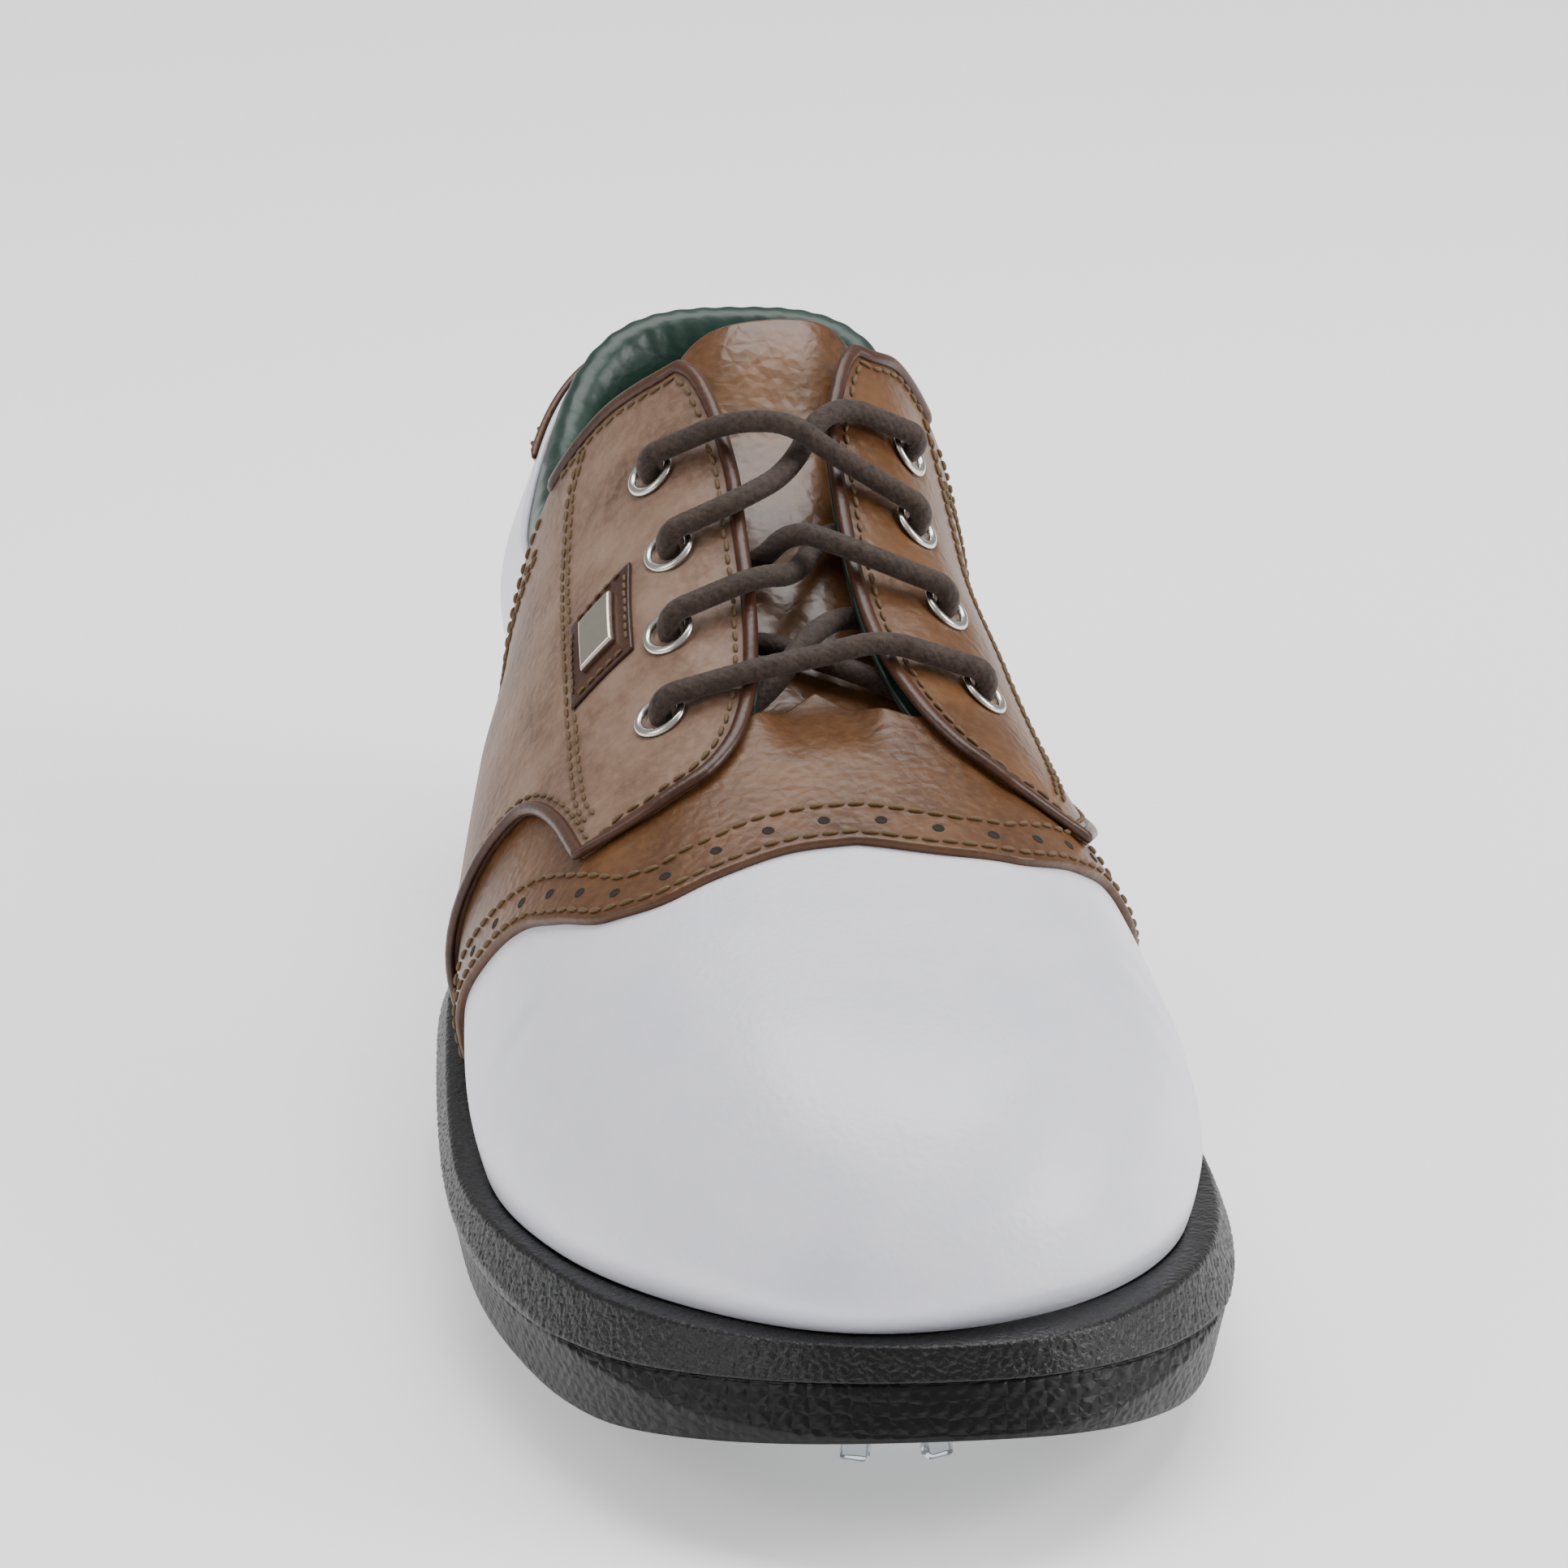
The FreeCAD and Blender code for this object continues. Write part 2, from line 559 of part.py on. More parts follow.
def rod(start, axis, radius, low, high):
    return Part.makeCylinder(radius, high - low, start + axis * low, axis)


SIDE_NAMES = {-1: "lateral", 1: "medial"}
all_holes = []
for side in (-1, 1):
    frames = [eyelet_frame(side, n) for n in range(4)]
    holes = [rod(c, axis, EYELET_TUBE + 0.05, -6, 8) for c, axis, lift in frames]
    save("quarter_" + SIDE_NAMES[side], quarter(side).cut(holes))
    save("facing_lining_" + SIDE_NAMES[side], facing_lining(side).cut(holes))
    all_holes += holes[:2]
    rings = []
    for c, axis, lift in frames:
        tube = rod(c, axis, EYELET_TUBE, -1.4, lift + 0.15)
        rim = rod(c, axis, EYELET_RIM, lift + 0.15, lift + 0.65)
        mouth = Part.makeCone(EYELET_HOLE, EYELET_HOLE + 0.8, 1.25, c + axis * (lift - 0.4), axis)
        rings.append(tube.fuse(rim).cut([rod(c, axis, EYELET_HOLE, -6, 8), mouth]).removeSplitter())
    save("eyelets_" + SIDE_NAMES[side], Part.makeCompound(rings))
save("saddle_band", saddle_band.cut(all_holes))


def ring_panel(ks, low, high, nv, inner, outer):
    """Panel round the heel: rib low(k) to rib high(k) at each station."""
    grids = []
    for lift in (outer, inner):
        grids.append([[on_skin(k, low(k) + (high(k) - low(k)) * j / nv, lift) for j in range(nv + 1)]
                      for k in ks])
    return thick(*grids)


def spread(reach, n):
    return [-reach + 2 * reach * i / n for i in range(n + 1)]


def under_quarter(drop, front):
    def high(k):
        back = abs(k)
        if back <= 4.7:
            return top_rib(k, -drop)
        edge = top_rib(4.7 if k > 0 else -4.7, -drop)
        return edge + (front - edge) * step((back - 4.7) / 0.9)
    return high


save("heel_quarter", ring_panel(spread(5.1, 38), lambda k: 0.0, under_quarter(0.3, 3.6), 10, -LEATHER, 0.0))
save("lining", ring_panel(spread(7.3, 44), lambda k: 0.0, under_quarter(16, 3.3), 10, -3.2, -2.3))
save("heel_stiffener", ring_panel(spread(3.2, 20), lambda k: 0.0, lambda k: top_rib(k, -20), 6, -2.15, -1.35))


def backstay():
    """Heel strip, wider towards the top line."""
    grids = []
    for lift in (0.1 + LEATHER, 0.1):
        grid = []
        for i in range(17):
            row = []
            for j in range(9):
                k = (i / 8 - 1) * (1.1 + 1.5 * (j / 8) ** 2)
                row.append(on_skin(k, top_rib(k, -0.3) * j / 8, lift))
            grid.append(row)
        grids.append(grid)
    return thick(*grids)


save("backstay", backstay())
save("collar", ring_panel(spread(5.05, 38), lambda k: top_rib(k, -13),
                          lambda k: top_rib(k, 6.5 - 8.5 * step((abs(k) - 4.2) / 0.85)), 8, -8.5, -1.5))


# ---------------------------------------------------------------- tongue
TONGUE_TOP = 5.08
TONGUE_ROOT = 8.3


def tongue_layer(low, high, trim=0.0):
    """Layer of the tongue from its root under the toe piece to its rounded top edge."""
    grids = []
    for base in (high, low):
        grid = []
        for i in range(19):
            k = TONGUE_TOP + trim * 0.03 + (TONGUE_ROOT - TONGUE_TOP) * i / 18
            reach = blend([(5.0, 3.92), (5.3, 3.98), (5.9, 4.15), (7.0, 4.3), (8.3, 5.1)], k) + trim * 0.05
            row = []
            for j in range(-9, 10):
                w = abs(j) / 9
                kk = k + (0.25 * w ** 10 - 0.14 * w * w) * (1 - i / 18) ** 3
                r = 6 - (6 - reach) * w
                lift = base + 3.0 * step((5.7 - kk) / 0.6)
                row.append(on_skin(kk if j <= 0 else 24 - kk, r, lift))
            grid.append(row)
        grids.append(grid)
    return thick(*grids)


save("tongue", tongue_layer(-7.8, -6.8))
save("tongue_pad", tongue_layer(-11.4, -8.0, 1.0))


# ---------------------------------------------------------------- badge
def badge_layer(half_k, half_r, low, high):
    k, r = 6.62, 3.7
    return panel(lambda u: (k - half_k + 2 * half_k * u, r - half_r),
                 lambda u: (k - half_k + 2 * half_k * u, r + half_r), 6, 6, low, high)


save("badge_patch", badge_layer(0.30, 0.34, lambda k, r: quarter_outer(k, r) + 0.25,
                                lambda k, r: quarter_outer(k, r) + 0.8))
save("badge", badge_layer(0.2, 0.2, lambda k, r: quarter_outer(k, r) + 0.9,
                          lambda k, r: quarter_outer(k, r) + 2.1))


# ---------------------------------------------------------------- lace
def above(side, n, rise=1.0):
    c, axis, lift = eyelet_frame(side, n)
    return c + axis * (lift + 0.9 + LACE_R + rise)


def below(side, n):
    c, axis, lift = eyelet_frame(side, n)
    return c - axis * (1.6 + LACE_R)


def crest(k, height, side=-1, r=6.0):
    return on_skin(station(k, side), r, height)


def turn_point(side, n, forward, height):
    """Point where a strand passes the edge of the facing, beyond eyelet n."""
    k = EYELETS[side][n][0] + forward
    return on_skin(station(k, side), blend(FACING[side], k) + 0.12, height)


def cord(points, radius):
    """Round cord along straight runs joined by tangent arcs."""
    edges, radii = [], []
    at = points[0]
    for a, b, c in zip(points, points[1:], points[2:]):
        u, w = (b - a).normalize(), (c - b).normalize()
        turn = math.acos(max(-1, min(1, u.dot(w))))
        reach = 0.45 * min((b - a).Length, (c - b).Length)
        radii.append(reach / math.tan(turn / 2))
        start, stop = b - u * reach, b + w * reach
        inward = (w - u).normalize()
        centre = b + inward * (radii[-1] / math.cos(turn / 2))
        edges.append(Part.LineSegment(at, start).toShape())
        edges.append(Part.Arc(start, centre - inward * radii[-1], stop).toShape())
        at = stop
    edges.append(Part.LineSegment(at, points[-1]).toShape())
    path = Part.Wire(edges)
    ring = Part.Wire([Part.Circle(points[0], (points[1] - points[0]).normalize(), radius).toShape()])
    body = path.makePipeShell([ring], True, False)
    print("cord length", round(path.Length), "least arc", round(min(radii), 2),
          "volume share", round(body.Volume / (path.Length * math.pi * radius ** 2), 4))
    return body


L, M = -1, 1


def tail(side):
    """Loose end tucked down between the tongue and the quarter."""
    k = EYELETS[side][3][0]
    places = ((k - 0.05, 3.62, -5.2), (k - 0.3, 2.75, -5.8), (k - 0.5, 1.75, -7.5))
    return [on_skin(station(q, side), r, lift) for q, r, lift in places]


route = tail(L)[::-1] + [
    below(L, 3), above(L, 3), turn_point(L, 3, 0.05, 5.6), crest(5.98, 8.1),
    turn_point(M, 2, -0.1, 5.6), above(M, 2), below(M, 2), turn_point(M, 2, 0.12, -3.2),
    crest(6.72, -0.6), turn_point(L, 1, -0.1, 5.1), above(L, 1), below(L, 1),
    turn_point(L, 1, 0.05, -3.85), crest(7.12, -4.0), turn_point(M, 0, -0.05, -3.5),
    below(M, 0), above(M, 0, 1.3), turn_point(M, 0, 0.02, 5.8), crest(7.42, 4.8),
    turn_point(L, 0, -0.02, 5.1), above(L, 0), below(L, 0), turn_point(L, 0, -0.08, -3.2),
    crest(7.16, 1.2), turn_point(M, 1, 0.1, -3.2), below(M, 1), above(M, 1, 1.2),
    turn_point(M, 1, -0.05, 5.8), crest(6.55, 3.9), turn_point(L, 2, 0.15, -3.4),
    below(L, 2), above(L, 2), turn_point(L, 2, -0.08, 4.5), crest(6.12, 1.8),
    turn_point(M, 3, 0.12, 5.4), above(M, 3, 1.5), below(M, 3)] + tail(M)
lace = cord(route, LACE_R)
save("lace", lace)
aglets = []
for end, back in ((route[0], route[1]), (route[-1], route[-2])):
    way = (end - back).normalize()
    tube = rod(end, way, LACE_R + 0.15, -7, 9).cut(rod(end, way, LACE_R + 0.01, -8, 0))
    aglets.append(tube)
save("aglets", Part.makeCompound(aglets))
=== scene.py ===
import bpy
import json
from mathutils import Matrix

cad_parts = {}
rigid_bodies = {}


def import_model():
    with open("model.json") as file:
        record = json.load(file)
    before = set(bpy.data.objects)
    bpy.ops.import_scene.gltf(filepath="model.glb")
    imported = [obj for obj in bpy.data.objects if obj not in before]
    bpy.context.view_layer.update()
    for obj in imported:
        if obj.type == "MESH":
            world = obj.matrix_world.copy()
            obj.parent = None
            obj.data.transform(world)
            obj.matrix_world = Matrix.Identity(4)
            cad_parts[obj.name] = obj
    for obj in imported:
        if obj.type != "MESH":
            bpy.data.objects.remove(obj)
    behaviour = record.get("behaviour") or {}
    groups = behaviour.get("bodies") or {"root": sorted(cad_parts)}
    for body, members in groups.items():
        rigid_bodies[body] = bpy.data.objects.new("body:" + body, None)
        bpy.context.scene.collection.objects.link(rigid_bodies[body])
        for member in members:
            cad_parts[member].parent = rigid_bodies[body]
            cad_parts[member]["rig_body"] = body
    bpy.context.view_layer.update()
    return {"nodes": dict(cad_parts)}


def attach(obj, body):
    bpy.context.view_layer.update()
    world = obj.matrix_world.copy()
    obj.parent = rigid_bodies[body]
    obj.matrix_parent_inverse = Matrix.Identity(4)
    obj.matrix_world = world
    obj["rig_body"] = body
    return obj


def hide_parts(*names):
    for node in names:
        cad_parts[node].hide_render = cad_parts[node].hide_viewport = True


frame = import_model()
import bpy, math, json
import numpy as np
from mathutils import Vector

MM = 0.001
rng = np.random.default_rng(11)

# ------------------------------------------------------------------ the upper's skin, as in the CAD
LATERAL = [(3, 141), (-15, 138), (-29, 125), (-33, 103), (-32, 75), (-35, 45), (-42.5, 15),
           (-47.3, -15), (-49.2, -45), (-47.3, -76), (-36, -108), (-16, -132), (5, -139.5)]
MEDIAL = [(3, 141), (20, 138), (32, 125), (36, 103), (34, 75), (33, 45), (36, 15),
          (43, -15), (49.5, -45), (51.5, -80), (44, -110), (27, -131.5), (5, -139.5)]
SPINE_Y = [100, 100, 98, 92, 73, 46, 15, -14, -45, -75, -96, -104, -106]
SPINE_X = [(-106, 6), (-60, 5), (-22, 2), (0, 1), (39, 3), (100, 0)]
SPINE_Z = [(-145, 50), (-125, 57), (-106, 62.5), (-85, 67), (-60, 72.5), (-22, 86), (0, 97),
           (22, 108.5), (39, 119), (60, 131), (80, 137), (100, 138), (141, 127)]
EDGE_Z = [(-150, 32), (-140, 31), (-100, 26.5), (-60, 23.5), (0, 24), (40, 28), (75, 33),
          (110, 35), (150, 36)]
RISE = [0, 0.2, 0.42, 0.66, 0.88, 0.98, 1.0]
IN_LATERAL = [
    (0, -0.08, -0.04, 0.10, 0.40, 0.72, 1), (0, -0.10, -0.05, 0.10, 0.40, 0.72, 1),
    (0, -0.14, 0.00, 0.17, 0.44, 0.73, 1), (0, -0.17, 0.03, 0.22, 0.48, 0.75, 1),
    (0, -0.19, -0.08, 0.15, 0.47, 0.75, 1), (0, -0.12, -0.08, 0.12, 0.45, 0.73, 1),
    (0, -0.06, 0.00, 0.20, 0.48, 0.73, 1), (0, -0.04, 0.04, 0.24, 0.51, 0.74, 1),
    (0, -0.03, 0.04, 0.20, 0.46, 0.72, 1), (0, -0.03, 0.02, 0.15, 0.40, 0.69, 1),
    (0, -0.04, 0.01, 0.12, 0.37, 0.66, 1), (0, -0.06, -0.02, 0.09, 0.33, 0.63, 1),
    (0, -0.06, -0.03, 0.08, 0.31, 0.62, 1)]
IN_MEDIAL = [
    (0, -0.08, -0.04, 0.10, 0.40, 0.72, 1), (0, -0.08, -0.03, 0.10, 0.40, 0.72, 1),
    (0, -0.10, 0.00, 0.14, 0.42, 0.73, 1), (0, -0.06, 0.08, 0.24, 0.48, 0.75, 1),
    (0, -0.06, 0.06, 0.20, 0.48, 0.75, 1), (0, -0.07, 0.00, 0.17, 0.45, 0.73, 1),
    (0, -0.05, 0.01, 0.17, 0.42, 0.70, 1), (0, -0.04, 0.03, 0.19, 0.43, 0.70, 1),
    (0, -0.03, 0.02, 0.16, 0.42, 0.70, 1), (0, -0.03, 0.01, 0.13, 0.38, 0.68, 1),
    (0, -0.04, 0.00, 0.10, 0.35, 0.66, 1), (0, -0.06, -0.02, 0.09, 0.33, 0.63, 1),
    (0, -0.06, -0.03, 0.08, 0.31, 0.62, 1)]
TOPLINE = [(40, 108), (46, 99), (54, 87), (64, 77), (76, 71.5), (90, 70), (104, 72.5), (120, 79),
           (134, 87), (142, 90.5)]
EYELETS = {-1: [(7.5, 4.3), (6.97, 4.45), (6.42, 4.5), (5.82, 4.25)],
           1: [(7.3, 4.05), (6.77, 4.2), (6.2, 4.23), (5.63, 4.05)]}
FACING = {-1: [(5.3, 4.55), (5.55, 4.95), (5.85, 5.2), (6.2, 5.36), (6.8, 5.42), (7.4, 5.32),
               (7.75, 5.12), (8.0, 4.75), (8.12, 4.2)],
          1: [(5.3, 4.8), (5.55, 5.15), (5.85, 5.33), (6.3, 5.3), (6.85, 5.27), (7.3, 5.15),
              (7.6, 4.97), (7.85, 4.65), (8.0, 4.2)]}
SADDLE_FRONT = {-1: [(0, 7.45), (1, 7.6), (2, 7.85), (2.7, 8.1), (3.2, 8.4), (3.7, 8.7), (4.23, 8.8),
                     (4.73, 8.73), (5.5, 8.6), (6, 8.57)],
                1: [(0, 5.9), (0.5, 6.4), (0.85, 6.9), (1.17, 7.35), (1.6, 7.75), (2.2, 7.95), (3, 8.1),
                    (3.47, 8.27), (4.43, 8.57), (5.17, 8.62), (6, 8.57)]}
SADDLE_BACK = [(0, 5.0), (1, 5.3), (2, 6.05), (3, 6.5), (4.3, 7.0), (5.0, 7.7), (6, 7.95)]
SADDLE_TOP = [(0, 5.0), (1, 5.3), (2, 6.05), (3, 6.5), (4.3, 7.0), (5.0, 7.66), (5.35, 7.62), (6, 7.42)]
THROAT = [(0, 5.4), (1, 6.2), (2, 6.9), (3.5, 7.6), (5.0, 8.15), (6, 8.2)]
LINING_THROAT = [(0, 7.5), (3.5, 7.6), (5.0, 8.15), (6, 8.2)]
SWOOP = {-1: [(6.85, 0), (6.95, 1.0), (7.05, 2.2), (7.2, 2.75), (7.63, 3.2), (8.12, 3.5)],
         1: [(5.3, 0), (5.45, 0.9), (5.75, 1.7), (6.3, 2.05), (7.0, 2.35), (7.5, 2.75), (8.0, 3.35)]}
QUARTER_HIGH = {-1: [(4.8, 2.8), (5.03, 3.53), (5.27, 4.3)], 1: [(4.8, 3.2), (5.03, 3.9), (5.25, 4.5)]}
REAR = {-1: (4.5, 4.8), 1: (3.7, 4.8)}
LEATHER = 1.2


def blend(points, x):
    """Monotone cubic through (x, value) pairs, for arrays."""
    px = np.array([p[0] for p in points], float)
    py = np.array([p[1] for p in points], float)
    rate = np.diff(py) / np.diff(px)
    slope = np.empty_like(py)
    slope[0], slope[-1] = rate[0], rate[-1]
    a, b = rate[:-1], rate[1:]
    slope[1:-1] = np.where(a * b > 0, 2 * a * b / np.where(a * b > 0, a + b, 1), 0)
    x = np.clip(np.asarray(x, float), px[0], px[-1])
    i = np.clip(np.searchsorted(px, x, side="right") - 1, 0, len(px) - 2)
    h = px[i + 1] - px[i]
    t = (x - px[i]) / h
    return ((2 * t ** 3 - 3 * t ** 2 + 1) * py[i] + (t ** 3 - 2 * t ** 2 + t) * slope[i] * h
            + (3 * t ** 2 - 2 * t ** 3) * py[i + 1] + (t ** 3 - t ** 2) * slope[i + 1] * h)


def loop_poles(values):
    """Cubic spline poles of a closed, evenly spaced row of values."""
    n = len(values)
    a = np.zeros((n, n))
    for i in range(n):
        a[i, i], a[i, (i - 1) % n], a[i, (i + 1) % n] = 4 / 6, 1 / 6, 1 / 6
    return np.linalg.solve(a, np.array(values, float))


def rib_poles(values, even):
    a = np.zeros((9, 9))
    v = np.zeros(9)
    for i in range(7):
        a[i + 1, i:i + 3] = 1 / 6, 4 / 6, 1 / 6
        v[i + 1] = values[i]
    a[0, 0:3] = 1, -2, 1
    a[8, 6:9] = (-1, 0, 1) if even else (1, -2, 1)
    return np.linalg.solve(a, v)


def cubic(p0, p1, p2, p3, t):
    return ((1 - t) ** 3 * p0 + (3 * t ** 3 - 6 * t ** 2 + 4) * p1
            + (-3 * t ** 3 + 3 * t ** 2 + 3 * t + 1) * p2 + t ** 3 * p3) / 6


def around(poles, k):
    i = np.floor(k).astype(int)
    return cubic(*[poles[(i + j) % 24] for j in (-1, 0, 1, 2)], k - i)


def along(poles, r):
    """poles: (9,) + shape of r."""
    i = np.clip(np.floor(r).astype(int), 0, 5)
    take = lambda j: np.take_along_axis(poles, (i + j)[None], 0)[0]
    return cubic(take(0), take(1), take(2), take(3), r - i)


ring = lambda a, b: list(a) + list(b[-2:0:-1])
EX = loop_poles([p[0] for p in ring(LATERAL, MEDIAL)])
EY = loop_poles([p[1] for p in ring(LATERAL, MEDIAL)])
SY = loop_poles(ring(SPINE_Y, SPINE_Y))
RIBS = np.array([loop_poles([row[j] for row in ring(IN_LATERAL, IN_MEDIAL)]) for j in range(7)])
RISE_POLES = rib_poles(RISE, True)
RIB_SOLVE = np.array([rib_poles([1.0 if i == j else 0.0 for i in range(7)], False) for j in range(7)]).T


def skin(k, r):
    k, r = np.broadcast_arrays(np.asarray(k, float), np.asarray(r, float))
    k, r = k.copy(), np.clip(r, 0, 6)
    ex, ey, sy = around(EX, k), around(EY, k), around(SY, k)
    knots = np.array([around(RIBS[j], k) for j in range(7)])
    a = along(np.tensordot(RIB_SOLVE, knots, 1), r)
    b = along(np.broadcast_to(RISE_POLES.reshape((9,) + (1,) * k.ndim), (9,) + k.shape), r)
    y = ey + (sy - ey) * a
    x = ex + (blend(SPINE_X, sy) - ex) * a
    return np.stack([x, y, blend(EDGE_Z, ey) * (1 - b) + blend(SPINE_Z, y) * b], -1)


def unit(v):
    return v / np.maximum(np.linalg.norm(v, axis=-1, keepdims=True), 1e-9)


def outward(k, r):
    k, r = np.broadcast_arrays(np.asarray(k, float), np.asarray(r, float))
    h = 0.04
    du = skin(k + h, r) - skin(k - h, r)
    dv = skin(k, np.minimum(r + h, 5.99)) - skin(k, np.maximum(np.minimum(r, 5.95) - h, 0))
    n = unit(np.cross(du, dv))
    y = around(SY, k)
    rise = (blend(SPINE_Z, y + 2) - blend(SPINE_Z, y - 2)) / 4
    top = unit(np.stack([np.zeros_like(y), -rise, np.ones_like(y)], -1))
    w = np.clip((r - 5.7) / 0.27, 0, 1)[..., None]
    return unit(n * (1 - w) + top * w)


def on_skin(k, r, lift=0.0):
    return skin(k, r) + outward(k, r) * np.asarray(lift, float)[..., None]


def station(k, side):
    return k if side < 0 else 24 - k


def fold(k):
    k = np.mod(k, 24)
    return np.minimum(k, 24 - k)


def step(x):
    x = np.clip(x, 0, 1)
    return x * x * (3 - 2 * x)


def rib_at(k, z):
    k = np.asarray(k, float)
    low, high = np.zeros_like(k), np.full_like(k, 6.0)
    for _ in range(22):
        mid = (low + high) / 2
        under = skin(k, mid)[..., 2] < z
        low, high = np.where(under, mid, low), np.where(under, high, mid)
    return low


def top_rib(k, up=0.0):
    k = np.asarray(k, float)
    r = np.full_like(k, 2.5)
    for _ in range(8):
        r = rib_at(k, blend(TOPLINE, skin(k, r)[..., 1]) + up)
    return r


def over_saddle(k, r):
    return LEATHER * step((fold(k) - blend(SADDLE_BACK, r) + 0.85) / 0.8)


def quarter_outer(k, r):
    return 0.1 + LEATHER + over_saddle(k, r)


# ------------------------------------------------------------------ materials
def material(name, color, rough, build=None, **values):
    m = bpy.data.materials.new(name)
    m.use_nodes = True
    nt = m.node_tree
    bsdf = nt.nodes["Principled BSDF"]
    bsdf.inputs["Base Color"].default_value = (*color, 1)
    bsdf.inputs["Roughness"].default_value = rough
    for key, value in values.items():
        bsdf.inputs[key.replace("_", " ")].default_value = value
    if build:
        build(Nodes(nt, bsdf))
    return m


class Nodes:
    """Short names for the few node kinds the materials use."""

    def __init__(self, nt, bsdf):
        self.nt, self.bsdf = nt, bsdf
        self.where = nt.nodes.new("ShaderNodeTexCoord").outputs["Object"]

    def node(self, kind, **inputs):
        n = self.nt.nodes.new(kind)
        for key, value in inputs.items():
            key = key.replace("_", " ")
            if isinstance(value, bpy.types.NodeSocket):
                self.nt.links.new(value, n.inputs[key])
            elif value is not None:
                n.inputs[key].default_value = value
        return n

    def scaled(self, x, y, z):
        m = self.nt.nodes.new("ShaderNodeMapping")
        self.nt.links.new(self.where, m.inputs["Vector"])
        m.inputs["Scale"].default_value = (x, y, z)
        return m.outputs["Vector"]

    def noise(self, scale, detail=3.0, rough=0.5, vector=None):
        return self.node("ShaderNodeTexNoise", Vector=vector or self.where, Scale=scale, Detail=detail,
                         Roughness=rough).outputs["Fac"]

    def cells(self, scale, feature="F1", out="Distance", vector=None, randomness=1.0):
        n = self.node("ShaderNodeTexVoronoi", Vector=vector or self.where, Scale=scale, Randomness=randomness)
        n.feature = feature
        return n.outputs[out]

    def ramp(self, fac, stops):
        n = self.node("ShaderNodeValToRGB", Fac=fac)
        e = n.color_ramp.elements
        while len(e) < len(stops):
            e.new(0.5)
        for item, (at, color) in zip(e, stops):
            item.position = at
            item.color = (*color, 1) if len(color) == 3 else color
        return n.outputs["Color"]

    def math(self, op, a, b=None, clamp=False):
        n = self.nt.nodes.new("ShaderNodeMath")
        n.operation, n.use_clamp = op, clamp
        for i, v in enumerate((a, b)):
            if isinstance(v, bpy.types.NodeSocket):
                self.nt.links.new(v, n.inputs[i])
            elif v is not None:
                n.inputs[i].default_value = v
        return n.outputs[0]

    def mix(self, fac, a, b, how="MIX"):
        n = self.nt.nodes.new("ShaderNodeMix")
        n.data_type, n.blend_type = "RGBA", how
        for i, v in ((0, fac), (6, a), (7, b)):
            if isinstance(v, bpy.types.NodeSocket):
                self.nt.links.new(v, n.inputs[i])
            elif v is not None:
                n.inputs[i].default_value = v if i == 0 or len(v) == 4 else (*v, 1)
        return n.outputs[2]

    def attribute(self, name):
        n = self.nt.nodes.new("ShaderNodeAttribute")
        n.attribute_name = name
        return n.outputs["Fac"]

    def color(self, socket):
        self.nt.links.new(socket, self.bsdf.inputs["Base Color"])

    def rough(self, fac, low, high):
        n = self.node("ShaderNodeMapRange", Value=fac, To_Min=low, To_Max=high)
        self.nt.links.new(n.outputs[0], self.bsdf.inputs["Roughness"])

    def bump(self, *layers):
        """Layers are (height, distance in metres)."""
        last = None
        for height, distance in layers:
            n = self.nt.nodes.new("ShaderNodeBump")
            n.inputs["Strength"].default_value = 1.0
            n.inputs["Distance"].default_value = distance
            self.nt.links.new(height, n.inputs["Height"])
            if last:
                self.nt.links.new(last, n.inputs["Normal"])
            last = n.outputs["Normal"]
        self.nt.links.new(last, self.bsdf.inputs["Normal"])


def leather(base, dark, light, grain, depth, rough, wear=0.5, patina=38):
    def build(n):
        pores = n.cells(grain)
        lines = n.cells(grain * 0.6, "DISTANCE_TO_EDGE")
        cloud = n.noise(patina, 5, 0.62)
        fine = n.noise(grain, 4, 0.7)
        tone = n.ramp(cloud, [(0.28, dark), (0.5, base), (0.74, light)])
        speck = n.ramp(fine, [(0.42, (0, 0, 0)), (0.66, (1, 1, 1))])
        tone = n.mix(n.math("MULTIPLY", speck, wear), tone, light)
        edge = n.attribute("edge")
        tone = n.mix(n.math("MULTIPLY", edge, 0.55), tone, dark)
        n.color(tone)
        n.rough(cloud, rough - 0.06, rough + 0.08)
        n.bump((lines, depth * 1.0), (pores, depth * 0.5), (n.noise(110, 3), depth * 1.2))
    return build


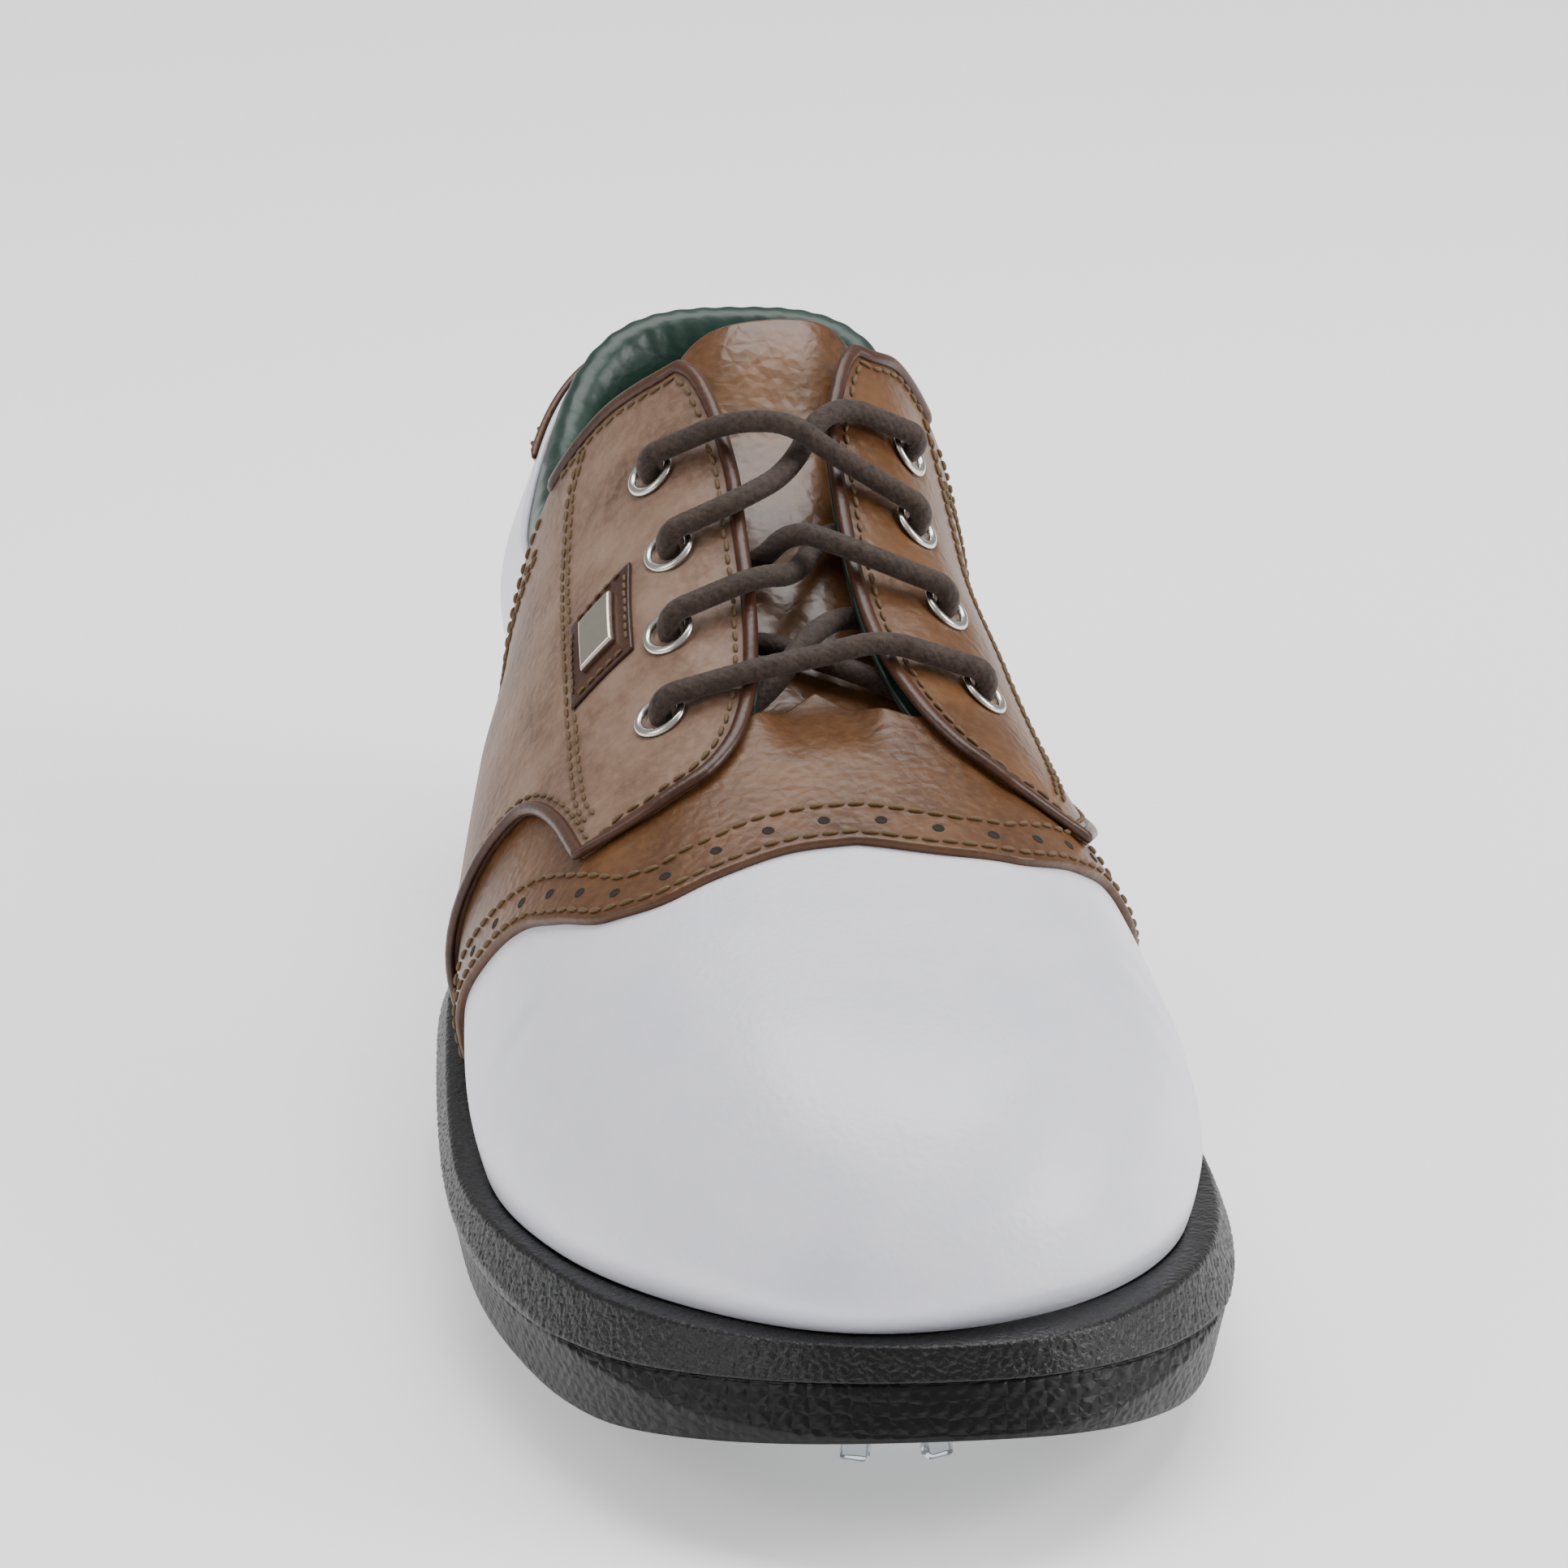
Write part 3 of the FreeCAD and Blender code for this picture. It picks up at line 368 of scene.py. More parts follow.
MAT = {
    "white": material("white_leather", (0.80, 0.79, 0.84), 0.38, leather(
        (0.775, 0.77, 0.86), (0.71, 0.71, 0.81), (0.83, 0.825, 0.89), 900, 0.00007, 0.36, 0.15),
        Coat_Weight=0.15, Coat_Roughness=0.22, Specular_IOR_Level=0.5),
    "tan": material("tan_leather", (0.22, 0.13, 0.085), 0.5, leather(
        (0.19, 0.112, 0.074), (0.095, 0.048, 0.028), (0.28, 0.19, 0.138), 620, 0.00016, 0.50, 0.4, 70),
        Specular_IOR_Level=0.32),
    "brown": material("brown_leather", (0.14, 0.06, 0.022), 0.45, leather(
        (0.105, 0.043, 0.014), (0.062, 0.023, 0.0075), (0.17, 0.078, 0.028), 620, 0.00014, 0.38, 0.4, 60),
        Specular_IOR_Level=0.4),
    "gloss_brown": material("polished_leather", (0.16, 0.07, 0.025), 0.3, leather(
        (0.12, 0.050, 0.016), (0.06, 0.021, 0.007), (0.22, 0.105, 0.041), 560, 0.00012, 0.28, 0.35, 48),
        Specular_IOR_Level=0.5),
    "fold": material("folded_edge_leather", (0.04, 0.014, 0.007), 0.36, leather(
        (0.042, 0.015, 0.008), (0.022, 0.008, 0.004), (0.09, 0.036, 0.018), 900, 0.00005, 0.34, 0.3),
        Specular_IOR_Level=0.4),
    "green": material("green_leather", (0.010, 0.030, 0.021), 0.42, leather(
        (0.010, 0.030, 0.021), (0.005, 0.016, 0.011), (0.018, 0.044, 0.032), 700, 0.00008, 0.38, 0.3),
        Specular_IOR_Level=0.45),
    "thread": material("stitch_thread", (0.12, 0.07, 0.028), 0.7, lambda n: n.bump((n.noise(2600), 0.0001))),
    # near-black colour of the punched-hole discs is painted shade, standing in for the shadowed inside of each hole
    "hole": material("punched_hole_painted_shade", (0.012, 0.008, 0.006), 0.9),
}


def fabric(base, scale):
    def build(n):
        wave = n.cells(scale, randomness=0.25)
        n.color(n.mix(n.noise(60), [c * 0.8 for c in base], [min(1, c * 1.25) for c in base]))
        n.bump((wave, 0.0003))
    return build


MAT["lining"] = material("lining_cloth", (0.035, 0.045, 0.04), 0.85, fabric((0.035, 0.045, 0.04), 1100),
                         Sheen_Weight=0.3)
MAT["footbed"] = material("footbed_cloth", (0.03, 0.04, 0.036), 0.9, fabric((0.03, 0.04, 0.036), 900),
                          Sheen_Weight=0.3)


def rubber(n):
    pores = n.cells(700, "DISTANCE_TO_EDGE")
    big = n.noise(420, 4, 0.7)
    n.color(n.ramp(n.noise(30), [(0.3, (0.0022, 0.0022, 0.0024)), (0.7, (0.0045, 0.0045, 0.0049))]))
    n.rough(big, 0.26, 0.46)
    n.bump((pores, 0.0002), (big, 0.00032))


def scales(n):
    cell = n.cells(380, "DISTANCE_TO_EDGE", vector=n.scaled(1, 1, 1.3), randomness=0.35)
    n.color(n.ramp(n.noise(25), [(0.3, (0.002, 0.002, 0.0021)), (0.7, (0.0035, 0.0035, 0.0037))]))
    n.rough(n.noise(200), 0.34, 0.5)
    n.bump((cell, 0.0005))


def carbon(n):
    check = n.node("ShaderNodeTexChecker", Vector=n.scaled(1, 1, 0.01), Scale=420.0,
                   Color1=(0.55, 0.56, 0.55, 1), Color2=(0.20, 0.21, 0.20, 1))
    n.color(check.outputs["Color"])
    n.bump((check.outputs["Fac"], 0.0001))


MAT["sidewall"] = material("grained_sidewall", (0.006, 0.006, 0.0062), 0.4, rubber, Specular_IOR_Level=0.4)
MAT["tread"] = material("scaled_tread", (0.006, 0.006, 0.0062), 0.42, scales, Specular_IOR_Level=0.25)
MAT["grey"] = material("grey_carrier_plastic", (0.20, 0.24, 0.235), 0.35, lambda n: (
    n.color(n.ramp(n.noise(30), [(0.3, (0.18, 0.215, 0.21)), (0.7, (0.23, 0.27, 0.26))])),
    n.bump((n.noise(500), 0.00004))))
MAT["carbon"] = material("woven_plate", (0.4, 0.4, 0.4), 0.25, carbon, Coat_Weight=0.6, Coat_Roughness=0.1)
MAT["inlay"] = material("plain_inlay", (0.22, 0.20, 0.18), 0.25, lambda n: n.bump((n.noise(300), 0.00003)))
MAT["nickel"] = material("nickel", (0.62, 0.60, 0.56), 0.22, lambda n: (
    n.rough(n.noise(600), 0.16, 0.32), n.bump((n.noise(900), 0.00002))), Metallic=1.0)
MAT["plate"] = material("pale_metal_plate", (0.55, 0.50, 0.42), 0.3, lambda n: (
    n.rough(n.noise(500), 0.22, 0.4), n.bump((n.noise(700), 0.00003))), Metallic=1.0)
MAT["lace"] = material("waxed_lace", (0.055, 0.042, 0.036), 0.62, lambda n: (
    n.color(n.ramp(n.noise(900, 4, 0.7), [(0.3, (0.022, 0.013, 0.010)), (0.75, (0.075, 0.050, 0.038))])),
    n.bump((n.noise(2400, 3), 0.00012))), Sheen_Weight=0.1, Sheen_Roughness=0.5,
                       Specular_IOR_Level=0.2)
MAT["aglet"] = material("aglet_plastic", (0.05, 0.035, 0.03), 0.2, lambda n: n.bump((n.noise(800), 0.00002)))
MAT["hub"] = material("cleat_hub", (0.66, 0.70, 0.78), 0.3, lambda n: n.bump((n.noise(500), 0.00004)),
                      Transmission_Weight=0.25, Subsurface_Weight=0.2)
MAT["clear"] = material("clear_cleat", (0.86, 0.91, 0.95), 0.12, lambda n: (
    n.rough(n.noise(300), 0.06, 0.22), n.bump((n.noise(250), 0.00008))),
    Transmission_Weight=0.88, IOR=1.48)
MAT["board"] = material("board", (0.5, 0.42, 0.32), 0.8, lambda n: n.bump((n.noise(400), 0.00005)))
MAT["insert"] = material("insert_plastic", (0.04, 0.045, 0.05), 0.5, lambda n: n.bump((n.noise(400), 0.00004)))


# ------------------------------------------------------------------ meshes
def make(name, verts, faces, mat, body="shoe", smooth=True, edge=None, slot=None, replaces=()):
    mesh = bpy.data.meshes.new(name)
    mesh.from_pydata((np.asarray(verts) * MM).tolist(), [], [list(map(int, f)) for f in faces])
    mesh.validate()
    if smooth:
        mesh.polygons.foreach_set("use_smooth", [True] * len(mesh.polygons))
    if edge is not None:
        layer = mesh.attributes.new("edge", "FLOAT", "POINT")
        layer.data.foreach_set("value", np.asarray(edge, float))
    mesh.materials.append(MAT[mat])
    o = bpy.data.objects.new(name, mesh)
    bpy.context.scene.collection.objects.link(o)
    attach(o, body)
    if replaces:
        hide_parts(*replaces)
    return o


def grid_faces(n, m, start=0, flip=False, wrap=False):
    i, j = np.meshgrid(np.arange(n - 1), np.arange(m if wrap else m - 1), indexing="ij")
    a = start + i * m + j
    b = start + i * m + (j + 1) % m
    c = start + (i + 1) * m + (j + 1) % m
    d = start + (i + 1) * m + j
    f = np.stack([a, b, c, d], -1).reshape(-1, 4)
    return f[:, ::-1] if flip else f


def weld(o, dist=0.00002):
    import bmesh
    bm = bmesh.new()
    bm.from_mesh(o.data)
    bmesh.ops.remove_doubles(bm, verts=bm.verts, dist=dist)
    bmesh.ops.recalc_face_normals(bm, faces=bm.faces)
    bm.to_mesh(o.data)
    bm.free()
    return o


def rounded(length, count, ring=(0, 0.08, 0.25, 0.5, 0.85, 1.3)):
    """Shares of a length, set close together within the rounded margin at both ends."""
    ends = np.array(ring) / max(length, 3.0)
    mid = np.linspace(ends[-1], 1 - ends[-1], count)[1:-1]
    return np.concatenate([ends, mid, 1 - ends[::-1]])


def spine_smoothed(p):
    """Rounds over the line where the two mirrored halves of a grid meet at its last column."""
    n, m = p.shape[:2]
    half = n // 2 + 1
    strip = np.concatenate([p[:half], p[::-1][:half, ::-1][:, 1:]], axis=1)
    at = np.arange(2 * m - 1) - (m - 1)
    share = np.exp(-(at / 11.0) ** 2)[None, :, None]
    kernel = np.exp(-np.arange(-16, 17) ** 2 / 60.0)
    kernel /= kernel.sum()
    wide = np.pad(strip, ((0, 0), (16, 16), (0, 0)), mode="edge")
    soft = sum(w * wide[:, i:i + 2 * m - 1] for i, w in enumerate(kernel))
    strip = strip + (soft - strip) * share
    out = p.copy()
    out[:half] = strip[:, :m]
    out[::-1][:half] = strip[:, m - 1:][:, ::-1]
    return out


def sheet(name, k, r, lift, thick, mat, radius=0.55, open_edges="", groove=None, spine=False, **keep):
    """Leather sheet over the skin. k, r: arrays (n, m); its rim is rounded over."""
    lift = np.broadcast_to(lift, k.shape).astype(float)
    base = on_skin(k, r, lift)
    du = np.linalg.norm(np.diff(base, axis=0), axis=-1)
    dv = np.linalg.norm(np.diff(base, axis=1), axis=-1)
    from_a = np.vstack([np.zeros((1, k.shape[1])), np.cumsum(du, 0)])
    from_c = np.hstack([np.zeros((k.shape[0], 1)), np.cumsum(dv, 1)])
    gaps = []
    for side, gap in (("a", from_a), ("b", from_a[-1:] - from_a), ("c", from_c), ("d", from_c[:, -1:] - from_c)):
        if side not in open_edges:
            gaps.append(gap)
    gap = np.min(gaps, axis=0) if gaps else np.full(k.shape, 99.0)
    drop = radius - np.sqrt(np.maximum(radius ** 2 - np.maximum(radius - gap, 0) ** 2, 0))
    top = lift - drop
    if groove is not None:
        top = top - groove(base)
    outer = on_skin(k, r, top)
    inner = on_skin(k, r, lift - thick)
    if spine:
        outer, inner = spine_smoothed(outer), spine_smoothed(inner)
    n, m = k.shape
    verts = np.concatenate([outer.reshape(-1, 3), inner.reshape(-1, 3)])
    faces = [grid_faces(n, m), grid_faces(n, m, n * m, True)]
    rim = []
    t = np.arange(n * m).reshape(n, m)
    for line in (t[0], t[-1][::-1], t[:, 0][::-1]) + (() if spine else (t[:, -1],)):
        for p, q in zip(line, line[1:]):
            rim.append((q, p, p + n * m, q + n * m))
    faces = np.concatenate(faces + [np.array(rim)])
    edge = np.exp(-gap / 1.6).reshape(-1)
    o = make(name, verts, faces, mat, edge=np.concatenate([edge, edge]), **keep)
    return weld(o)


# ------------------------------------------------------------------ seams on the skin
class Seam:
    """A line on the skin given by station and rib samples, with a lift above the skin."""

    def __init__(self, k, r, lift):
        self.k, self.r = np.asarray(k, float), np.asarray(r, float)
        self.lift = np.broadcast_to(lift(self.k, self.r) if callable(lift) else lift, self.k.shape).astype(float)
        self.p = on_skin(self.k, self.r, self.lift)
        self.n = outward(self.k, self.r)
        self.s = np.concatenate([[0], np.cumsum(np.linalg.norm(np.diff(self.p, axis=0), axis=1))])

    def at(self, s):
        pick = lambda a: np.stack([np.interp(s, self.s, a[:, i]) for i in range(3)], -1)
        p, n = pick(self.p), unit(pick(self.n))
        t = unit(pick(np.gradient(self.p, self.s, axis=0)))
        n = unit(n - t * np.sum(n * t, -1, keepdims=True))
        return p, t, n, np.cross(n, t)

    def spots(self, gap, start=0.0, stop=0.0):
        n = max(2, int(round((self.s[-1] - start - stop) / gap)))
        return start + (np.arange(n) + 0.5) * (self.s[-1] - start - stop) / n


CAPSULE = []
for u in np.linspace(-1, 1, 7):
    w = math.sqrt(max(0, 1 - abs(u) ** 3.2))
    for q in range(7):
        a = 2 * math.pi * q / 7
        CAPSULE.append((u, max(w, 0.12) * math.cos(a), max(w, 0.12) * math.sin(a)))
CAPSULE = np.array(CAPSULE)
CAPSULE_FACES = [tuple(f) for f in grid_faces(7, 7, wrap=True)] + [tuple(range(7))[::-1], tuple(range(42, 49))]


def stitches(name, seams, mat="thread", length=2.5, gap=3.1, thick=0.36, side=0.0, body="shoe", lift=0.12):
    """Real thread: one short rounded length for each stitch, all in one mesh."""
    verts, faces = [], []
    for seam in seams:
        s = seam.spots(gap)
        p, t, n, b = seam.at(s)
        jitter = rng.normal(0, 0.05, (len(s), 3))
        for i in range(len(s)):
            c = p[i] + b[i] * (side + jitter[i, 0]) + n[i] * lift
            tt = unit(t[i] + b[i] * (0.07 + jitter[i, 1]))
            bb = np.cross(n[i], tt)
            half = length / 2 * (1 + jitter[i, 2])
            sag = (1 - CAPSULE[:, :1] ** 2) * 0.10
            v = c + CAPSULE[:, :1] * half * tt + CAPSULE[:, 1:2] * thick * bb + (CAPSULE[:, 2:] * thick + sag) * n[i]
            base = len(verts) * 49
            verts.append(v)
            faces += [tuple(q + base for q in f) for f in CAPSULE_FACES]
    return make(name, np.concatenate(verts), faces, mat, body=body)


def punches(name, seams, gap=6.0, radius=0.62, body="shoe", start=3.0):
    """Punched holes, shown as shallow dark discs with a slight rim that lie on the leather; the discs' near-black
    colour is painted shade standing in for the shadowed inside of each hole.
    """
    verts, faces = [], []
    rings = [(1.3, -0.05), (1.12, 0.10), (0.96, 0.09), (0.88, 0.05), (0.0, 0.04)]
    for seam in seams:
        s = seam.spots(gap, start, start)
        p, t, n, b = seam.at(s)
        for i in range(len(s)):
            base = len(verts) * 41
            block = []
            for rr, z in rings[:-1]:
                for q in range(10):
                    a = 2 * math.pi * q / 10
                    block.append(p[i] + radius * rr * (t[i] * math.cos(a) + b[i] * math.sin(a)) + n[i] * (z + 0.02))
            block.append(p[i] + n[i] * 0.06)
            verts.append(np.array(block))
            faces += [tuple(f + base) for f in grid_faces(4, 10, wrap=True)]
            faces += [(base + 30 + q, base + 30 + (q + 1) % 10, base + 40) for q in range(10)]
    return make(name, np.concatenate(verts), faces, "hole", body=body)


def strip(name, seam, width, height, mat, side=0.0, body="shoe", replaces=(), slot=None, ends=3.0):
    """Rolled edge: a rounded strip along a seam, closed at both ends."""
    n_s = max(12, int(seam.s[-1] / 0.9))
    s = np.linspace(0, seam.s[-1], n_s)
    p, t, n, b = seam.at(s)
    taper = np.clip(np.minimum(s, seam.s[-1] - s) / ends, 0, 1) ** 0.5 if ends else np.ones_like(s)
    m = 14
    verts = []
    for q in range(m):
        a = 2 * math.pi * q / m
        x, z = math.cos(a), math.sin(a)
        x = math.copysign(abs(x) ** 0.8, x)
        w = (width / 2) * taper
        h = height * taper * (z if z > 0 else 0.5 * z)
        verts.append(p + b * (side + x * w)[:, None] + n * h[:, None])
    verts = np.stack(verts, 1).reshape(-1, 3)
    faces = list(map(tuple, grid_faces(n_s, m, wrap=True)))
    faces += [tuple(range(m))[::-1], tuple(range((n_s - 1) * m, n_s * m))]
    return make(name, verts, faces, mat, body=body, slot=slot, replaces=replaces)


# ------------------------------------------------------------------ toe piece (white) and its lining
def toe_grid(nk, nr, back, r_low=0.0, r_high=6.0):
    v = np.concatenate([[0, 0.004, 0.012, 0.022], np.linspace(0.035, 1, nr)])
    r = r_low + (r_high - r_low) * v
    w = np.linspace(-1, 1, nk)
    k = np.where(w[:, None] < 0, blend(back, r)[None] + (12 - blend(back, r)[None]) * (1 + w[:, None]),
                 24 - blend(back, r)[None] - (12 - blend(back, r)[None]) * (1 - w[:, None]))
    return k, np.broadcast_to(r[None], k.shape)


k, r = toe_grid(161, 84, THROAT)
flex = step((10.2 - fold(k)) / 1.6) * step((fold(k) - 8.3) / 0.6)
waves = 0.22 * np.sin(fold(k) * 19 + np.sin(r * 2.1) * 1.4) * flex * np.exp(-((r - 2.3) / 1.2) ** 2)
waves += 0.10 * np.sin(k * 3.7 + r * 2.9) * np.sin(r * 1.7) * step(r / 0.8) * step((5.6 - r) / 1.2)
sheet("vamp_white", k, r, waves * 0.8, 1.15, "white", open_edges="cd", spine=True, slot="white_leather",
      replaces=["vamp"])
k, r = toe_grid(81, 40, LINING_THROAT)
sheet("vamp_inside", k, r, -2.3, 0.9, "lining", open_edges="cd", slot="lining", replaces=["vamp_lining"])


# ------------------------------------------------------------------ saddle band
def saddle_front(side, r):
    return blend(SADDLE_FRONT[side], r)


cols = np.concatenate([-np.linspace(1, 0, 130), np.linspace(0, 1, 130)[1:]])
rows = rounded(26, 34)
W, U = np.meshgrid(cols, rows)
R = 6 - 6 * np.abs(W)
front = np.where(W < 0, saddle_front(-1, R), saddle_front(1, R))
K = front + (blend(SADDLE_TOP, R) - front) * U
dip = 3.4 * step((7.98 - K) / 0.5) * step((R - 5.28) / 0.42)
sheet("saddle_band", np.where(W <= 0, K, 24 - K), R, 0.1 + LEATHER - dip, LEATHER + 0.05, "brown",
      open_edges="cd", slot="brown_leather", replaces=["saddle_band"])


def saddle_seam(inset, w0=-1.0, w1=1.0):
    """Line a fixed distance (mm) behind the saddle band's front edge."""
    w = np.linspace(w0, w1, 240)
    rr = 6 - 6 * np.abs(w)
    f = np.where(w < 0, saddle_front(-1, rr), saddle_front(1, rr))
    kk = np.where(w <= 0, f, 24 - f)
    p = on_skin(kk, rr, 0.1 + LEATHER)
    t = unit(np.gradient(p, axis=0))
    n = outward(kk, rr)
    b = np.cross(n, t)
    target = p - b * inset if (p - b)[120, 1] > p[120, 1] else p + b * inset
    return project(target, kk, rr, 0.1 + LEATHER)


def project(target, k, r, lift):
    """Station and rib of the skin points nearest to targets, starting from k, r."""
    k, r = k.copy(), np.clip(r, 0.02, 5.985)
    for _ in range(7):
        p = on_skin(k, r, lift)
        h = 0.02
        pk = (on_skin(k + h, r, lift) - p) / h
        rr = np.where(r > 5.9, -h, h)
        pr = (on_skin(k, r + rr, lift) - p) / rr[..., None]
        d = target - p
        a, b, c = np.sum(pk * pk, -1), np.sum(pk * pr, -1), np.sum(pr * pr, -1)
        e, f = np.sum(pk * d, -1), np.sum(pr * d, -1)
        det = a * c - b * b + 1e-9
        k = k + np.clip((c * e - b * f) / det, -0.4, 0.4)
        r = np.clip(r + np.clip((a * f - b * e) / det, -0.4, 0.4), 0.0, 5.99)
    return Seam(k, r, lift)


stitches("saddle_stitch_front", [saddle_seam(1.6, -0.97, 0.97)], gap=2.9, length=2.35)
stitches("saddle_stitch_back", [saddle_seam(8.2, -0.93, 0.93)], gap=2.9, length=2.35)
punches("saddle_punches", [saddle_seam(4.9, -0.9, 0.9)], gap=8.4, radius=0.75)


# ------------------------------------------------------------------ quarters
def quarter_grid(side, nu, nv):
    end = SWOOP[side][-1][0]
    rear, rear_top = REAR[side]
    rise = SWOOP[side][0][0]
    base = np.concatenate([np.linspace(rear, rise - 0.05, nu), np.linspace(rise - 0.03, rise + 0.45, 30),
                           np.linspace(rise + 0.48, end, nu)])
    u = (base - rear) / (end - rear)
    high = QUARTER_HIGH[side] + FACING[side]
    k1 = rear_top + (high[-1][0] - rear_top) * u
    v = rounded(90, nv)
    k = base[:, None] + (k1 - base)[:, None] * v[None]
    r0, r1 = blend(SWOOP[side], base), blend(high, k1)
    return k, r0[:, None] + (r1 - r0)[:, None] * v[None], (base, r0), (k1, r1)


quarter_rims = {}
for side, name, mat in ((-1, "lateral", "tan"), (1, "medial", "brown")):
    k, r, low, high = quarter_grid(side, 90, 90)
    holes = [on_skin(np.array(station(kk, side)), np.array(rr), 0.0) for kk, rr in EYELETS[side]]

    def pressed(p, holes=holes):
        out = np.zeros(p.shape[:2])
        for h in holes:
            d = np.linalg.norm(p - h, axis=-1)
            out += 0.35 * np.exp(-(np.maximum(d - 3.6, 0) / 1.1) ** 2)
        return out

    sheet("quarter_" + name, station(k, side), r, quarter_outer(k, r), LEATHER, mat, groove=pressed,
          slot=mat + "_leather", replaces=["quarter_" + name])
    kt, rt = high
    kb, rb = low
    pick = kb > SWOOP[side][0][0] + 0.01
    rim_k = np.concatenate([kb[pick], kt[::-1]])
    rim_r = np.concatenate([rb[pick], rt[::-1]])
    quarter_rims[side] = Seam(station(rim_k, side), rim_r, quarter_outer)
    strip("quarter_fold_" + name, quarter_rims[side], 2.3, 1.0, "fold", side=0.0, ends=2.0)

    def inset_line(amount, s0, s1, side=side):
        rim = quarter_rims[side]
        s = np.linspace(s0, s1, 200)
        p, t, n, b = rim.at(s)
        kk, rr = np.interp(s, rim.s, rim.k), np.interp(s, rim.s, rim.r)
        probe = p + b * amount
        centre = on_skin(np.array(station(6.3, side)), np.array(3.0), 0.0)
        if np.mean(np.linalg.norm(probe - centre, axis=1)) > np.mean(np.linalg.norm(p - b * amount - centre, axis=1)):
            probe = p - b * amount
        return project(probe, kk, rr, quarter_outer(fold(kk), rr))

    total = quarter_rims[side].s[-1]
    stitches("quarter_stitch_" + name, [inset_line(2.3, 4, total - 5)], gap=2.7, length=2.2)
    seam_k = {-1: [(0, 8.02), (0.1, 7.63), (0.3, 7.0), (0.45, 6.4), (0.62, 5.75), (0.8, 5.3), (1, 5.02)],
              1: [(0, 7.9), (0.1, 7.5), (0.3, 6.9), (0.45, 6.3), (0.62, 5.7), (0.8, 5.2), (1, 4.9)]}[side]
    seam_r = {-1: [(0, 3.66), (0.1, 3.45), (0.3, 3.34), (0.45, 3.3), (0.62, 3.2), (0.8, 3.2), (1, 3.35)],
              1: [(0, 3.55), (0.1, 3.3), (0.3, 3.1), (0.45, 3.1), (0.62, 3.1), (0.8, 3.2), (1, 3.4)]}[side]
    s = np.linspace(0.03, 0.98, 160)
    line = Seam(station(blend(seam_k, s), side), blend(seam_r, s), quarter_outer)
    stitches("facing_seam_a_" + name, [line], gap=2.7, length=2.2, side=0.8)
    stitches("facing_seam_b_" + name, [line], gap=2.7, length=2.2, side=-0.8)
    rear = np.linspace(0.03, 0.96, 120)
    rear_k, rear_r = REAR[side][0] + (REAR[side][1] - REAR[side][0]) * rear, QUARTER_HIGH[side][0][1] * rear
    for i, offset in enumerate((0.08, 0.30, 0.36)):
        row = Seam(station(rear_k + offset, side), rear_r, quarter_outer)
        stitches("rear_stitch_%d_%s" % (i, name), [row], gap=2.7, length=2.2)
    punches("rear_punches_" + name, [Seam(station(rear_k + 0.19, side), rear_r, quarter_outer)], gap=8.0)

# green lining leather along the facings
for side, name in ((-1, "lateral"), (1, "medial")):
    kk = np.linspace(5.3, 7.85, 120)
    v = rounded(30, 16)
    top = blend(FACING[side], kk) + 0.075
    k2 = np.broadcast_to(kk[:, None], (120, len(v)))
    r2 = 3.72 + (top - 3.72)[:, None] * v[None]
    sheet("facing_lining_" + name, station(k2, side), r2, -0.02, 0.9, "green", slot="green_leather",
          replaces=["facing_lining_" + name], radius=0.4)


# ------------------------------------------------------------------ heel: white quarter, brown strip, lining
def heel_high(drop, front):
    def high(k):
        back = np.abs(k)
        edge = np.where(back <= 4.7, top_rib(k, -drop), top_rib(np.sign(k) * 4.7, -drop))
        return np.where(back <= 4.7, edge, edge + (front - edge) * step((back - 4.7) / 0.9))
    return high


def heel_sheet(name, reach, nk, nv, low, high, lift, thick, mat, **keep):
    kk = np.linspace(-reach, reach, nk)
    v = rounded(45, nv)
    lo, hi = low(kk), high(kk)
    k2 = np.broadcast_to(kk[:, None], (nk, len(v)))
    return sheet(name, k2, lo[:, None] + (hi - lo)[:, None] * v[None], lift, thick, mat, **keep)


zero = lambda k: np.zeros_like(k)
heel_sheet("heel_quarter", 5.1, 220, 50, zero, heel_high(0.3, 3.6), 0.0, 1.15, "white", slot="white_leather",
           replaces=["heel_quarter"])
heel_sheet("lining", 7.3, 160, 24, zero, heel_high(12, 3.3), -2.3, 0.9, "lining", slot="lining",
           replaces=["lining"])
w = np.linspace(-1, 1, 70)
v = rounded(50, 40)
kk = w[:, None] * (1.1 + 1.5 * v[None] ** 2)
sheet("backstay", kk, top_rib(kk, -0.3) * v[None], 0.1 + LEATHER, LEATHER, "brown", slot="brown_leather",
      replaces=["backstay"])
for sgn in (-1, 1):
    vv = np.linspace(0.03, 0.97, 80)
    for i, inset in enumerate((0.06, 0.13)):
        kk = sgn * (1.1 + 1.5 * vv ** 2) * (1 - inset)
        stitches("backstay_stitch_%d%s" % (i, "lm"[sgn > 0]), [Seam(kk, top_rib(kk, -0.3) * vv, 0.1 + LEATHER)],
                 gap=2.8, length=2.3)

# ------------------------------------------------------------------ padded collar
kk = np.linspace(-5.05, 5.05, 260)
fade = step((np.abs(kk) - 4.1) / 0.9)
up = 6.4 - 8.5 * fade
prof = []
nq = 40
for q in range(nq):
    a = 2 * math.pi * q / nq
    prof.append((math.cos(a), math.sin(a)))
verts = []
for x, z in prof:
    # x: 1 outside, -1 inside; z: 1 top, -1 bottom
    zz = np.sign(z) * abs(z) ** 0.75
    height = np.where(zz > 0, -3.5 + (up + 3.5) * zz, -3.5 + 12.5 * zz)
    rr = top_rib(kk, 0.0)
    rr = rib_at(kk, blend(TOPLINE, skin(kk, rr)[..., 1]) + height)
    out = 4.1 * (abs(x) ** 0.85) * (1 if x > 0 else -1)
    base = -5.2 + np.where(height > 0, 0.9 * height / 6.4, 0)
    pucker = 0.16 * np.sin(kk * 23 + 2 * math.sin(3 * z)) * (abs(z) ** 2)
    verts.append(on_skin(kk, rr, base + out + pucker))
verts = np.stack(verts, 1).reshape(-1, 3)
